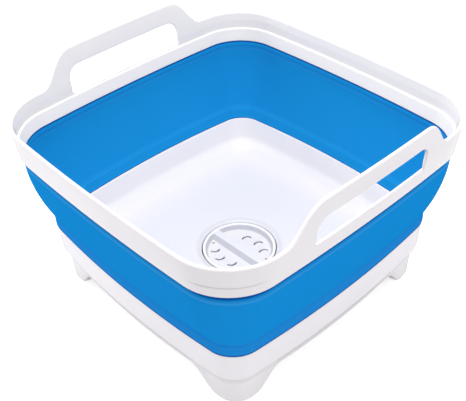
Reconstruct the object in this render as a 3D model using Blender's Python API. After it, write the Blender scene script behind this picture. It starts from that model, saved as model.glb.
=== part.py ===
# Collapsible camp washbasin: a stiff rim with two moulded handles, a soft wall that folds
# down, and a footed tray with a lift-out strainer plug in its drain. Metres, +Z up. The
# basin stands on z = 0, centred on the Z axis, with its handles on the +X and -X sides.

import math

import bmesh
import bpy
import numpy as np

# Plan of the basin. An inset is how far a line lies inside the outer edge of the rim.
RIM_SPAN = 0.300
RIM_CORNER_RADIUS = 0.048
CORNER_TIGHTENING_SHARE = 1.45
CORNER_EASE = 0.137
LEAST_CORNER_RADIUS = 0.0008
SIDE_BOW = 0.0044
BOW_GROWTH_SHARE = 0.17

# Levels, from the ground up.
FLOOR_CLEARANCE = 0.0285
FLOOR_THICKNESS = 0.003
TRAY_DEPTH = 0.0352
WALL_HEIGHT = 0.0823
RIM_HEIGHT = 0.029
HANDLE_RISE = 0.0284

FLOOR_TOP = FLOOR_CLEARANCE + FLOOR_THICKNESS
TRAY_TOP = FLOOR_TOP + TRAY_DEPTH
RIM_BOTTOM = TRAY_TOP + WALL_HEIGHT
RIM_TOP = RIM_BOTTOM + RIM_HEIGHT

# Fits: pieces that touch in use are drawn this far apart, and cutters run this far past.
CLEARANCE = 0.0003
OVERRUN = 0.010

# Rim: a flared band with a round top edge, a ledge inside and a groove under its foot.
RIM_FLARE = 0.0032
RIM_CREASE_FLARE = 0.0024
RIM_CREASE_HEIGHT = 0.0065
RIM_UPPER_FLARE = 0.0006
RIM_UPPER_DROP = 0.008
RIM_WALL = 0.0030
RIM_EDGE_ROUND = 0.0014
RIM_LIP_OUTER = 0.0014
RIM_LIP_INNER = 0.0012
LEDGE_DROP = 0.0164
LEDGE_WIDTH = 0.0013
LEDGE_ROUND = 0.0008
RIM_TONGUE = 0.0013
RIM_TONGUE_DEPTH = 0.0042

# Handles: the rim's wall rises in a smooth step, with a slot for the fingers below the top.
HANDLE_TOP_SPAN = 0.105
HANDLE_FOOT_SPAN = 0.187
HANDLE_LEAN = 0.0028
GRIP_SPAN = 0.124
GRIP_HEIGHT = 0.0248
GRIP_SILL = 0.0016
GRIP_CORNER_RADIUS = 0.011
GRIP_SILL_RADIUS = 0.0015

# Folding wall: a bowed panel between two hinge bands, with a tongue in the rim and the tray.
WALL_THICKNESS = 0.0018
WALL_TOP_BAND = 0.0085
WALL_HINGE_DEPTH = 0.0009
WALL_HINGE_HEIGHT = 0.002
PANEL_TOP_INSET = 0.0054
PANEL_FOOT_INSET = 0.0190
PANEL_CURVE_POWER = 1.7
BEAD_HEIGHT = 0.0133
BEAD_WIDTH = 0.0027
BEAD_ROUND = 0.0016
NOTCH_DEPTH = 0.0005

# Tray: outside, the groove in its top edge, the moulded feet and the drain well.
TRAY_INSET = 0.0194
TRAY_TAPER = 0.0013
TRAY_OUTER_ROUND = 0.008
TRAY_INNER_ROUND = 0.014
TRAY_LIP = 0.0009
TRAY_LIP_ROUND = 0.0004
TRAY_TONGUE = 0.0010
TRAY_TONGUE_DEPTH = 0.0037
SKIRT_INSET = 0.0245
SKIRT_WALL = 0.0030
SKIRT_LIP = 0.0040
SKIRT_ROUND = 0.0010
FOOT_TAPER = 0.0011
FOOT_START_REACH = 0.083
FOOT_FULL_REACH = 0.051
FOOT_ROUND = 0.005
FOOT_WALL = 0.008
SOLE_THICKNESS = 0.003
SOLE_REACH = 0.056
WEB_OVERLAP = 0.0012
FOOT_RIB_THICKNESS = 0.0022
FOOT_RIB_REACH = 0.034

# Drain well in the tray's floor, and the fittings that it holds, both sized from the plug.
WELL_GAP = 0.0009
WELL_FLOOR = 0.019
WELL_WALL = 0.0028
WELL_FLOOR_THICKNESS = 0.0026
WELL_EDGE_ROUND = 0.0008
DISH_WIDTH = 0.0063
DISH_DROP = 0.0026
OUTLET_RADIUS = 0.0264
OUTLET_WALL = 0.0035
OUTLET_BOTTOM = 0.006
FLANGE_GAP = 0.0006
FLANGE_THICKNESS = 0.0018
FLANGE_ROUND = 0.0004
THROAT_RADIUS = 0.0235
SEAT_RADIUS = 0.0195
SEAT_THICKNESS = 0.0019
GASKET_THICKNESS = 0.0010
GASKET_MARGIN = 0.0004
NUT_HEIGHT = 0.0063
NUT_RADIUS = 0.0325
NUT_LOBES = 12
NUT_LOBE_DEPTH = 0.0013
HUB_RADIUS = 0.0055
HUB_BOTTOM = 0.008
ARM_COUNT = 3
ARM_WIDTH = 0.0032
ARM_HEIGHT = 0.006

# Strainer plug: a shallow cup with a ring round its top, a grip bar and curved slits.
PLUG_RADIUS = 0.0343
PLUG_RING = 0.0022
PLUG_HEIGHT = 0.0073
PLUG_CUP_DEPTH = 0.0055
PLUG_EDGE_ROUND = 0.0006
PLUG_CUP_ROUND = 0.0012
PLUG_BASE_ROUND = 0.0018
PLUG_TURN = math.radians(-7.0)
BAR_WIDTH = 0.0066
BAR_DROP = 0.0001
BAR_ROUND = 0.0010
BAR_SINK = 0.0007
SLIT_WIDTH = 0.0018
SLIT_BEND = 0.0048
SLIT_START = 102.0
SLIT_END = 216.0
SLIT_CENTRE_SHARES = ((-0.216, 0.437), (0.157, 0.560), (0.478, 0.484))
DRAIN_HOLE_RADIUS = 0.0012
DRAIN_HOLE_SHARES = (0.706, 0.373)
BOSS_RADIUS = 0.0060
BOSS_HEIGHT = 0.0015
BOSS_BORE_DEPTH = 0.0026

# Stem, stopper and washer under the strainer plug.
STEM_RADIUS = 0.0025
STEM_BOTTOM = 0.004
STEM_CHAMFER = 0.0006
COLLAR_RADIUS = 0.0055
COLLAR_THICKNESS = 0.0012
WASHER_RADIUS = 0.009
WASHER_THICKNESS = 0.0010
STOPPER_RADIUS = 0.0226
STOPPER_THICKNESS = 0.0027
STOPPER_LIP = 0.0013
STOPPER_HUB_RADIUS = 0.0085

# Steps round the curves.
CORNER_STEPS = 6
HANDLE_STEPS = 7
PANEL_STEPS = 5
FOOT_STEPS = 4
ARC_STEPS = 4
EDGE_STEPS = 2
ROUND_STEPS = 40
FITTING_STEPS = 28
STEM_STEPS = 16
NUT_LOBE_STEPS = 4
SLIT_STEPS = 5
PLAIN_SIDE_SHARES = (-0.66, -0.33, 0.0, 0.33, 0.66)
FOOT_MIDDLE_SHARES = (0.0, 0.32)
SHARP_ANGLE = math.radians(35.0)

# Levels and radii that follow from the sizes above.
WELL_RADIUS = PLUG_RADIUS + WELL_GAP
DISH_RADIUS = WELL_RADIUS + DISH_WIDTH
FLANGE_RADIUS = WELL_RADIUS - FLANGE_GAP
FOOT_START = RIM_SPAN / 2 - FOOT_START_REACH
FOOT_FULL = RIM_SPAN / 2 - FOOT_FULL_REACH
SOLE_START = RIM_SPAN / 2 - SOLE_REACH
WELL_UNDERSIDE = WELL_FLOOR - WELL_FLOOR_THICKNESS
FLANGE_BOTTOM = WELL_FLOOR + CLEARANCE + GASKET_THICKNESS + CLEARANCE
FLANGE_TOP = FLANGE_BOTTOM + FLANGE_THICKNESS
PLUG_BOTTOM = FLANGE_TOP + CLEARANCE
PLUG_TOP = PLUG_BOTTOM + PLUG_HEIGHT
PLUG_FLOOR = PLUG_TOP - PLUG_CUP_DEPTH
BOSS_BOTTOM = PLUG_BOTTOM - BOSS_HEIGHT
STOPPER_TOP = BOSS_BOTTOM - CLEARANCE
STOPPER_BOTTOM = STOPPER_TOP - STOPPER_THICKNESS
SEAT_TOP = STOPPER_BOTTOM - CLEARANCE
WASHER_TOP = STOPPER_BOTTOM - CLEARANCE
WASHER_BOTTOM = WASHER_TOP - WASHER_THICKNESS
COLLAR_TOP = WASHER_BOTTOM - CLEARANCE
COLLAR_BOTTOM = COLLAR_TOP - COLLAR_THICKNESS
STEM_BORE_RADIUS = STEM_RADIUS + CLEARANCE
OUTLET_HOLE_RADIUS = OUTLET_RADIUS + CLEARANCE
RIM_GROOVE_INSET = RIM_FLARE + RIM_LIP_OUTER
RIM_GROOVE_WIDTH = RIM_TONGUE + 2 * CLEARANCE
RIM_FOOT_INSET = RIM_GROOVE_INSET + RIM_GROOVE_WIDTH + RIM_LIP_INNER
TRAY_GROOVE_INSET = TRAY_INSET + TRAY_LIP
TRAY_GROOVE_WIDTH = TRAY_TONGUE + 2 * CLEARANCE
TRAY_INNER_INSET = TRAY_GROOVE_INSET + TRAY_GROOVE_WIDTH + TRAY_LIP


def clear_scene():
    for item in list(bpy.data.objects):
        bpy.data.objects.remove(item, do_unlink=True)


def finish_material(name, colour, roughness, metallic=0.0):
    material = bpy.data.materials.new(name)
    material.use_nodes = True
    shader = material.node_tree.nodes["Principled BSDF"]
    shader.inputs["Base Color"].default_value = (*colour, 1.0)
    shader.inputs["Roughness"].default_value = roughness
    shader.inputs["Metallic"].default_value = metallic
    return material


def smooth_step(share):
    """Quintic step from 0 to 1, flat at both ends."""
    t = np.clip(share, 0.0, 1.0)
    return t * t * t * (t * (6.0 * t - 15.0) + 10.0)


def mirrored(shares):
    """The shares of half a side, repeated on the other half."""
    positive = [share for share in shares if share > 0.0]
    middle = [0.0] if 0.0 in shares else []
    return [-share for share in reversed(positive)] + middle + positive


def outline(inset, x_side_shares, y_side_shares, corner_steps):
    """Plan of the basin at an inset, anticlockwise: a square with round corners and bowed sides."""
    half = RIM_SPAN / 2 - inset
    radius = RIM_CORNER_RADIUS - CORNER_TIGHTENING_SHARE * inset + inset ** 2 / CORNER_EASE
    radius = max(radius, LEAST_CORNER_RADIUS)
    bow = SIDE_BOW + BOW_GROWTH_SHARE * inset
    straight = half - radius
    points = []
    for quarter, shares in enumerate((x_side_shares, y_side_shares) * 2):
        side = [(half, share * straight) for share in shares]
        for angle in np.linspace(0.0, math.pi / 2, corner_steps + 1):
            side.append((straight + radius * math.cos(angle), straight + radius * math.sin(angle)))
        cosine, sine = math.cos(quarter * math.pi / 2), math.sin(quarter * math.pi / 2)
        points += [(x * cosine - y * sine, x * sine + y * cosine) for x, y in side]
    x, y = np.array(points).T
    bowed_x = x * (1.0 - bow * (y / half) ** 2 / half)
    bowed_y = y * (1.0 - bow * (x / half) ** 2 / half)
    return np.stack([bowed_x, bowed_y], axis=1)


def circle(radius, steps):
    angle = np.linspace(0.0, 2.0 * math.pi, steps, endpoint=False)
    return np.stack([radius * np.cos(angle), radius * np.sin(angle)], axis=1)


def ring(plan, height):
    """A plan outline lifted to one height, or to one height for each of its points."""
    return np.column_stack([plan, np.broadcast_to(height, len(plan))])


def arc(centre, radius_x, radius_y, start, end, steps):
    """Points of an elliptic arc between two angles in degrees, ends included."""
    angles = np.radians(np.linspace(start, end, steps + 1))
    return [(centre[0] + radius_x * math.cos(a), centre[1] + radius_y * math.sin(a)) for a in angles]


def skin(shell, rings, closed):
    """Adds quads between rings of equal length, and from the last ring to the first if closed."""
    loops = [[shell.verts.new(point) for point in points] for points in rings]
    pairs = list(zip(loops[:-1], loops[1:]))
    if closed:
        pairs.append((loops[-1], loops[0]))
    for lower, upper in pairs:
        for index in range(len(lower)):
            after = (index + 1) % len(lower)
            shell.faces.new((lower[index], lower[after], upper[after], upper[index]))
    return loops


def cap(shell, loop, height):
    """Closes a loop round the axis with a fan."""
    pole = shell.verts.new((0.0, 0.0, height))
    for index, vertex in enumerate(loop):
        shell.faces.new((vertex, loop[(index + 1) % len(loop)], pole))


def fill_between(shell, outer, inner):
    """Fills the flat region between an outer loop and the loop round a hole in it."""
    edges = []
    for loop in (outer, inner):
        for index, vertex in enumerate(loop):
            edges.append(shell.edges.get((vertex, loop[(index + 1) % len(loop)])))
    bmesh.ops.triangle_fill(shell, use_beauty=True, edges=edges, normal=(0.0, 0.0, 1.0))


def to_object(name, shell, material):
    bmesh.ops.recalc_face_normals(shell, faces=shell.faces)
    mesh = bpy.data.meshes.new(name)
    shell.to_mesh(mesh)
    shell.free()
    mesh.shade_smooth()
    mesh.set_sharp_from_angle(angle=SHARP_ANGLE)
    if material:
        mesh.materials.append(material)
    item = bpy.data.objects.new(name, mesh)
    bpy.context.scene.collection.objects.link(item)
    return item


def turned(name, profile, material, steps=ROUND_STEPS, poles=()):
    """Turns a profile of (radius, height) points round the axis; poles close its two ends."""
    shell = bmesh.new()
    loops = skin(shell, [ring(circle(r, steps), z) for r, z in profile], closed=not poles)
    for loop, height in zip((loops[0], loops[-1]), poles):
        cap(shell, loop, height)
    return to_object(name, shell, material)


def prism(name, outline_points, low, high, material=None):
    """Extrudes a flat outline of (x, y) points between two heights."""
    shell = bmesh.new()
    plan = np.array(outline_points)
    loops = skin(shell, [ring(plan, low), ring(plan, high)], closed=False)
    for loop in loops:
        shell.faces.new(loop)
    return to_object(name, shell, material)


def as_cutter(item):
    item.hide_render = True
    item.display_type = "WIRE"
    return item


def combine(item, other, operation):
    as_cutter(other)
    modifier = item.modifiers.new(operation.title() + " " + other.name, "BOOLEAN")
    modifier.operation = operation
    modifier.solver = "EXACT"
    modifier.object = other


def rim_profile():
    """Section of the rim as (inset, height, whether it rises with the handle)."""
    top_edge = arc((RIM_WALL / 2, RIM_TOP - RIM_EDGE_ROUND), RIM_WALL / 2, RIM_EDGE_ROUND, 180.0, 0.0, ARC_STEPS)
    ledge_inset = RIM_WALL + RIM_UPPER_FLARE + LEDGE_WIDTH
    ledge_height = RIM_TOP - LEDGE_DROP
    groove_top = RIM_BOTTOM + RIM_TONGUE_DEPTH + CLEARANCE
    groove_end = RIM_GROOVE_INSET + RIM_GROOVE_WIDTH
    lip_round = RIM_LIP_OUTER / 3
    outside = [
        (RIM_FLARE + lip_round, RIM_BOTTOM, 0.0),
        (RIM_FLARE, RIM_BOTTOM + lip_round, 0.0),
        (RIM_CREASE_FLARE, RIM_BOTTOM + RIM_CREASE_HEIGHT, 0.0),
        (RIM_UPPER_FLARE, RIM_TOP - RIM_UPPER_DROP, 0.0),
    ]
    top = [(inset, height, 1.0) for inset, height in top_edge]
    inside = [
        (RIM_UPPER_FLARE + RIM_WALL, RIM_TOP - RIM_UPPER_DROP, 0.0),
        (RIM_UPPER_FLARE + RIM_WALL, ledge_height + LEDGE_ROUND, 0.0),
        (RIM_UPPER_FLARE + RIM_WALL + LEDGE_ROUND / 2, ledge_height, 0.0),
        (ledge_inset, ledge_height, 0.0),
        (ledge_inset + LEDGE_ROUND, ledge_height - LEDGE_ROUND, 0.0),
        (RIM_FOOT_INSET, RIM_BOTTOM + lip_round, 0.0),
        (RIM_FOOT_INSET - lip_round, RIM_BOTTOM, 0.0),
        (groove_end, RIM_BOTTOM, 0.0),
        (groove_end, groove_top, 0.0),
        (RIM_GROOVE_INSET, groove_top, 0.0),
        (RIM_GROOVE_INSET, RIM_BOTTOM, 0.0),
    ]
    return outside + top + inside


def handle_share(plan):
    """How much of a handle stands over each point: it rises and falls along the two X sides."""
    x, y = np.abs(plan).T
    run = (HANDLE_FOOT_SPAN - HANDLE_TOP_SPAN) / 2
    return np.where(x > y, smooth_step((HANDLE_FOOT_SPAN / 2 - y) / run), 0.0)


def build_rim(material):
    straight = RIM_SPAN / 2 - RIM_CORNER_RADIUS
    slope = np.linspace(HANDLE_TOP_SPAN / 2, HANDLE_FOOT_SPAN / 2, HANDLE_STEPS + 1) / straight
    handle_shares = mirrored([0.0, slope[0] / 2, *slope])
    rings = []
    for inset, height, lift in rim_profile():
        plan = outline(inset, handle_shares, PLAIN_SIDE_SHARES, CORNER_STEPS)
        share = lift * handle_share(plan)
        plan[:, 0] += np.sign(plan[:, 0]) * HANDLE_LEAN * share
        rings.append(ring(plan, height + HANDLE_RISE * share))
    shell = bmesh.new()
    skin(shell, rings, closed=True)
    rim = to_object("rim_frame", shell, material)
    combine(rim, grip_cutter(), "DIFFERENCE")


def grip_cutter():
    """The finger slots of both handles, as one bar through the basin along X."""
    half = GRIP_SPAN / 2
    sill = RIM_TOP - LEDGE_DROP + GRIP_SILL
    head = sill + GRIP_HEIGHT
    corners = (
        (half - GRIP_SILL_RADIUS, sill + GRIP_SILL_RADIUS, GRIP_SILL_RADIUS, -90.0),
        (half - GRIP_CORNER_RADIUS, head - GRIP_CORNER_RADIUS, GRIP_CORNER_RADIUS, 0.0),
        (GRIP_CORNER_RADIUS - half, head - GRIP_CORNER_RADIUS, GRIP_CORNER_RADIUS, 90.0),
        (GRIP_SILL_RADIUS - half, sill + GRIP_SILL_RADIUS, GRIP_SILL_RADIUS, 180.0),
    )
    points = []
    for y, z, radius, start in corners:
        points += arc((y, z), radius, radius, start, start + 90.0, ARC_STEPS)
    reach = RIM_SPAN / 2 + OVERRUN
    shell = bmesh.new()
    rings = [np.array([(x, y, z) for y, z in points]) for x in (-reach, reach)]
    for loop in skin(shell, rings, closed=False):
        shell.faces.new(loop)
    return to_object("grip_cutter", shell, None)


def panel_inset(height):
    """Inset of the wall's outer face where it bulges between its two hinge bands."""
    top = RIM_BOTTOM - WALL_TOP_BAND
    foot = TRAY_TOP + BEAD_HEIGHT
    share = (height - foot) / (top - foot)
    return PANEL_TOP_INSET + (PANEL_FOOT_INSET - PANEL_TOP_INSET) * (1.0 - share) ** PANEL_CURVE_POWER


def wall_profile():
    """Section of the folding wall as (inset, height), down its outer face and up its inner one."""
    top = RIM_BOTTOM - CLEARANCE
    foot = TRAY_TOP + CLEARANCE
    panel_top = RIM_BOTTOM - WALL_TOP_BAND
    panel_foot = TRAY_TOP + BEAD_HEIGHT
    hinge_middle = RIM_BOTTOM - WALL_TOP_BAND / 2
    hinge_inset = PANEL_TOP_INSET + WALL_HINGE_DEPTH
    tongue_outer = RIM_GROOVE_INSET + CLEARANCE
    tongue_inner = tongue_outer + RIM_TONGUE
    lower_tongue_outer = TRAY_GROOVE_INSET + CLEARANCE
    lower_tongue_inner = lower_tongue_outer + TRAY_TONGUE
    bead_outer = PANEL_FOOT_INSET
    bead_inner = PANEL_FOOT_INSET + BEAD_WIDTH
    heights = np.linspace(panel_top, panel_foot, PANEL_STEPS + 1)
    outside = [
        (tongue_outer, top + RIM_TONGUE_DEPTH),
        (tongue_outer, top),
        (hinge_inset, hinge_middle + WALL_HINGE_HEIGHT / 2),
        (hinge_inset, hinge_middle - WALL_HINGE_HEIGHT / 2),
    ]
    outside += [(panel_inset(height), height) for height in heights[:-1]]
    outside += [
        (PANEL_FOOT_INSET + NOTCH_DEPTH, panel_foot),
        (bead_outer, panel_foot - BEAD_ROUND),
        (bead_outer, foot + BEAD_ROUND),
        (TRAY_INSET, foot),
        (lower_tongue_outer, foot),
        (lower_tongue_outer, foot - TRAY_TONGUE_DEPTH),
    ]
    inside = [
        (lower_tongue_inner, foot - TRAY_TONGUE_DEPTH),
        (lower_tongue_inner, foot),
        (TRAY_INNER_INSET - TRAY_LIP_ROUND, foot),
        (bead_inner, foot + BEAD_ROUND),
        (bead_inner, panel_foot - BEAD_ROUND),
    ]
    inside += [(panel_inset(height) + WALL_THICKNESS, height) for height in heights[-2::-1]]
    inside += [
        (hinge_inset + WALL_THICKNESS - WALL_HINGE_DEPTH / 2, hinge_middle),
        (RIM_FOOT_INSET - RIM_LIP_INNER / 3, top),
        (tongue_inner, top),
        (tongue_inner, top + RIM_TONGUE_DEPTH),
    ]
    return outside + inside


def build_wall(material):
    shell = bmesh.new()
    rings = []
    for inset, height in wall_profile():
        plan = outline(inset, PLAIN_SIDE_SHARES, PLAIN_SIDE_SHARES, CORNER_STEPS)
        rings.append(ring(plan, height))
    skin(shell, rings, closed=True)
    to_object("folding_wall", shell, material)


def foot_share(plan):
    """How much of a foot stands under each point: none along the sides, all of it at corners."""
    along = np.abs(plan).min(axis=1)
    return smooth_step((along - FOOT_START) / (FOOT_FULL - FOOT_START))


def skirt_rings(side_shares):
    """The skirt under the tray, from the floor down its inner face and up its outer one.

    Along the sides it is a short lip, and at the corners it grows into a foot with a round
    lower edge. Each row gives the inset and the height above the lower edge, first for the
    lip and then for the foot.
    """
    foot_inset = SKIRT_INSET + FOOT_TAPER
    half_bend = math.sqrt(0.5)
    lip_bend = SKIRT_ROUND * (1.0 - half_bend)
    foot_bend = FOOT_ROUND * (1.0 - half_bend)
    rows = (
        (foot_inset + SKIRT_WALL, 0.0, foot_inset + FOOT_WALL, 0.0),
        (foot_inset + SKIRT_ROUND, 0.0, foot_inset + FOOT_ROUND, 0.0),
        (foot_inset + lip_bend, lip_bend, foot_inset + foot_bend, foot_bend),
        (foot_inset, SKIRT_ROUND, foot_inset, FOOT_ROUND),
    )
    share = foot_share(outline(foot_inset, side_shares, side_shares, CORNER_STEPS))
    lower_edge = FLOOR_CLEARANCE - SKIRT_LIP - (FLOOR_CLEARANCE - SKIRT_LIP) * share
    rings = [ring(outline(foot_inset + SKIRT_WALL, side_shares, side_shares, CORNER_STEPS), FLOOR_CLEARANCE)]
    for lip_inset, lip_height, full_inset, full_height in rows:
        lip = outline(lip_inset, side_shares, side_shares, CORNER_STEPS)
        foot = outline(full_inset, side_shares, side_shares, CORNER_STEPS)
        plan = lip + (foot - lip) * share[:, None]
        rings.append(ring(plan, lower_edge + lip_height + (full_height - lip_height) * share))
    return rings


def tray_profile():
    """Section of the tray's side above the skirt as (inset, height), up and over its edge."""
    side_foot = TRAY_INSET + TRAY_TAPER
    bend = math.degrees(math.acos(1.0 - (SKIRT_INSET - side_foot) / TRAY_OUTER_ROUND))
    bend_centre = (side_foot + TRAY_OUTER_ROUND, FLOOR_CLEARANCE + SKIRT_LIP + TRAY_OUTER_ROUND)
    outer_bend = arc(bend_centre, TRAY_OUTER_ROUND, TRAY_OUTER_ROUND, 180.0 + bend, 180.0, ARC_STEPS - 1)
    inner_foot = TRAY_INNER_INSET + TRAY_TAPER / 2
    inner_centre = (inner_foot + TRAY_INNER_ROUND, FLOOR_TOP + TRAY_INNER_ROUND)
    inner_bend = arc(inner_centre, TRAY_INNER_ROUND, TRAY_INNER_ROUND, 180.0, 270.0, ARC_STEPS)
    groove_floor = TRAY_TOP - TRAY_TONGUE_DEPTH
    groove_end = TRAY_GROOVE_INSET + TRAY_GROOVE_WIDTH
    edge = [
        (TRAY_INSET, TRAY_TOP - TRAY_LIP_ROUND),
        (TRAY_INSET + TRAY_LIP_ROUND, TRAY_TOP),
        (TRAY_GROOVE_INSET, TRAY_TOP),
        (TRAY_GROOVE_INSET, groove_floor),
        (groove_end, groove_floor),
        (groove_end, TRAY_TOP),
        (TRAY_INNER_INSET - TRAY_LIP_ROUND, TRAY_TOP),
        (TRAY_INNER_INSET, TRAY_TOP - TRAY_LIP_ROUND),
    ]
    return outer_bend + edge + inner_bend


def well_profile():
    """Section of the drain well as (radius, height), from the underside up to the floor."""
    outer = WELL_RADIUS + WELL_WALL
    dish_foot = FLOOR_TOP - DISH_DROP
    dish = arc((DISH_RADIUS, dish_foot), DISH_RADIUS - WELL_RADIUS, DISH_DROP, 180.0, 90.0, ARC_STEPS)
    return [
        (outer + WELL_EDGE_ROUND, FLOOR_CLEARANCE),
        (outer, FLOOR_CLEARANCE - WELL_EDGE_ROUND),
        (outer, WELL_UNDERSIDE + WELL_EDGE_ROUND),
        (outer - WELL_EDGE_ROUND, WELL_UNDERSIDE),
        (OUTLET_HOLE_RADIUS, WELL_UNDERSIDE),
        (OUTLET_HOLE_RADIUS, WELL_FLOOR),
        (WELL_RADIUS, WELL_FLOOR),
    ] + dish


def build_tray(material):
    straight = RIM_SPAN / 2 - RIM_CORNER_RADIUS
    slope = np.linspace(FOOT_START, FOOT_FULL, FOOT_STEPS + 1) / straight
    side_shares = mirrored([*FOOT_MIDDLE_SHARES, *[share for share in slope if share < 1.0]])
    shell = bmesh.new()
    rings = skirt_rings(side_shares)
    for inset, height in tray_profile():
        rings.append(ring(outline(inset, side_shares, side_shares, CORNER_STEPS), height))
    side = skin(shell, rings, closed=False)
    well = skin(shell, [ring(circle(r, ROUND_STEPS), z) for r, z in well_profile()], closed=False)
    fill_between(shell, side[0], well[0])
    fill_between(shell, side[-1], well[-1])
    tray = to_object("base_tray", shell, material)
    for corner in range(4):
        combine(tray, foot_sole(corner, side_shares), "UNION")
        combine(tray, foot_rib(corner), "UNION")


def quarter_turn(plan, quarter):
    angle = quarter * math.pi / 2
    cosine, sine = round(math.cos(angle)), round(math.sin(angle))
    return [(x * cosine - y * sine, x * sine + y * cosine) for x, y in plan]


def foot_reach(inset):
    """Distance of the corner of an outline from the Z axis."""
    return np.hypot(*outline(inset, PLAIN_SIDE_SHARES, PLAIN_SIDE_SHARES, CORNER_STEPS).T).max()


def foot_sole(corner, side_shares):
    """The flat web that closes the bottom of a foot in its corner."""
    inset = SKIRT_INSET + FOOT_TAPER + FOOT_WALL - WEB_OVERLAP
    plan = outline(inset, side_shares, side_shares, CORNER_STEPS)
    bend = [(x, y) for x, y in plan if min(x, y) > SOLE_START]
    return prism("sole_%d" % corner, quarter_turn(bend + [(SOLE_START, SOLE_START)], corner), 0.0, SOLE_THICKNESS)


def foot_rib(corner):
    """A web on the diagonal, from the foot's outer wall over the sole and back under the floor."""
    outer = foot_reach(SKIRT_INSET + FOOT_TAPER + SKIRT_WALL - WEB_OVERLAP)
    inner = outer - FOOT_RIB_REACH
    sole_end = math.hypot(SOLE_START, SOLE_START) + WEB_OVERLAP
    top = FLOOR_CLEARANCE + FLOOR_THICKNESS / 2
    section = [
        (outer - FOOT_ROUND, SOLE_THICKNESS / 2),
        (outer, FOOT_ROUND),
        (outer, top),
        (inner, top),
        (inner, FLOOR_CLEARANCE - SKIRT_LIP),
        (sole_end, SOLE_THICKNESS / 2),
    ]
    half = FOOT_RIB_THICKNESS / 2
    angle = math.pi / 4 + corner * math.pi / 2
    cosine, sine = math.cos(angle), math.sin(angle)
    rings = []
    for side in (-half, half):
        rings.append(np.array([(r * cosine - side * sine, r * sine + side * cosine, z) for r, z in section]))
    shell = bmesh.new()
    for loop in skin(shell, rings, closed=False):
        shell.faces.new(loop)
    return to_object("rib_%d" % corner, shell, None)


def build_drain_body(material):
    throat_foot = SEAT_TOP - SEAT_THICKNESS
    bore = OUTLET_RADIUS - OUTLET_WALL
    profile = [
        (THROAT_RADIUS, SEAT_TOP),
        (THROAT_RADIUS, FLANGE_TOP - FLANGE_ROUND),
        (THROAT_RADIUS + FLANGE_ROUND, FLANGE_TOP),
        (FLANGE_RADIUS - FLANGE_ROUND, FLANGE_TOP),
        (FLANGE_RADIUS, FLANGE_TOP - FLANGE_ROUND),
        (FLANGE_RADIUS, FLANGE_BOTTOM + FLANGE_ROUND),
        (FLANGE_RADIUS - FLANGE_ROUND, FLANGE_BOTTOM),
        (OUTLET_RADIUS, FLANGE_BOTTOM),
        (OUTLET_RADIUS, OUTLET_BOTTOM + FLANGE_ROUND),
        (OUTLET_RADIUS - FLANGE_ROUND, OUTLET_BOTTOM),
        (bore, OUTLET_BOTTOM),
        (bore, throat_foot - (bore - SEAT_RADIUS) / 2),
        (SEAT_RADIUS, throat_foot),
        (SEAT_RADIUS, SEAT_TOP),
    ]
    body = turned("drain_body", profile, material, steps=FITTING_STEPS)
    combine(body, spider(bore), "UNION")


def spider(bore):
    """Hub and arms across the outlet that guide the stem, as one flat star with a bore."""
    reach = bore + OUTLET_WALL / 2
    half = ARM_WIDTH / 2
    spread = math.asin(half / HUB_RADIUS)
    star = []
    for arm in range(ARM_COUNT):
        angle = 2.0 * math.pi * arm / ARM_COUNT + math.pi / 2
        cosine, sine = math.cos(angle), math.sin(angle)
        for side in (-half, half):
            star.append((reach * cosine - side * sine, reach * sine + side * cosine))
        step = 2.0 * math.pi / ARM_COUNT
        for share in np.linspace(0.0, 1.0, ARC_STEPS + 1):
            turn = angle + spread + (step - 2.0 * spread) * share
            star.append((HUB_RADIUS * math.cos(turn), HUB_RADIUS * math.sin(turn)))
    shell = bmesh.new()
    inner = circle(STEM_BORE_RADIUS, STEM_STEPS)
    low, high = HUB_BOTTOM, HUB_BOTTOM + ARM_HEIGHT
    outer_loops = skin(shell, [ring(np.array(star), low), ring(np.array(star), high)], closed=False)
    inner_loops = skin(shell, [ring(inner, low), ring(inner, high)], closed=False)
    for outer_loop, inner_loop in zip(outer_loops, inner_loops):
        fill_between(shell, outer_loop, inner_loop)
    return to_object("spider", shell, None)


def build_gasket(material):
    low = WELL_FLOOR + CLEARANCE
    high = low + GASKET_THICKNESS
    inner = OUTLET_HOLE_RADIUS + GASKET_MARGIN
    outer = FLANGE_RADIUS - GASKET_MARGIN
    profile = [(inner, low), (outer, low), (outer, high), (inner, high)]
    turned("flange_gasket", profile, material, steps=FITTING_STEPS)


def build_nut(material):
    """A ring nut with grip lobes round its outside."""
    steps = NUT_LOBES * NUT_LOBE_STEPS
    angle = np.linspace(0.0, 2.0 * math.pi, steps, endpoint=False)
    lobed = NUT_RADIUS - NUT_LOBE_DEPTH * (0.5 - 0.5 * np.cos(NUT_LOBES * angle)) ** 2
    top = WELL_UNDERSIDE - CLEARANCE
    bottom = top - NUT_HEIGHT
    inner = OUTLET_HOLE_RADIUS
    face = np.stack([np.cos(angle), np.sin(angle)], axis=1)
    rings = [
        ring(face * inner, bottom),
        ring(face * (lobed - WELL_EDGE_ROUND)[:, None], bottom),
        ring(face * lobed[:, None], bottom + WELL_EDGE_ROUND),
        ring(face * lobed[:, None], top - WELL_EDGE_ROUND),
        ring(face * NUT_RADIUS, top - WELL_EDGE_ROUND / 2),
        ring(face * NUT_RADIUS, top),
        ring(face * inner, top),
    ]
    shell = bmesh.new()
    skin(shell, rings, closed=True)
    to_object("drain_nut", shell, material)


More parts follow.
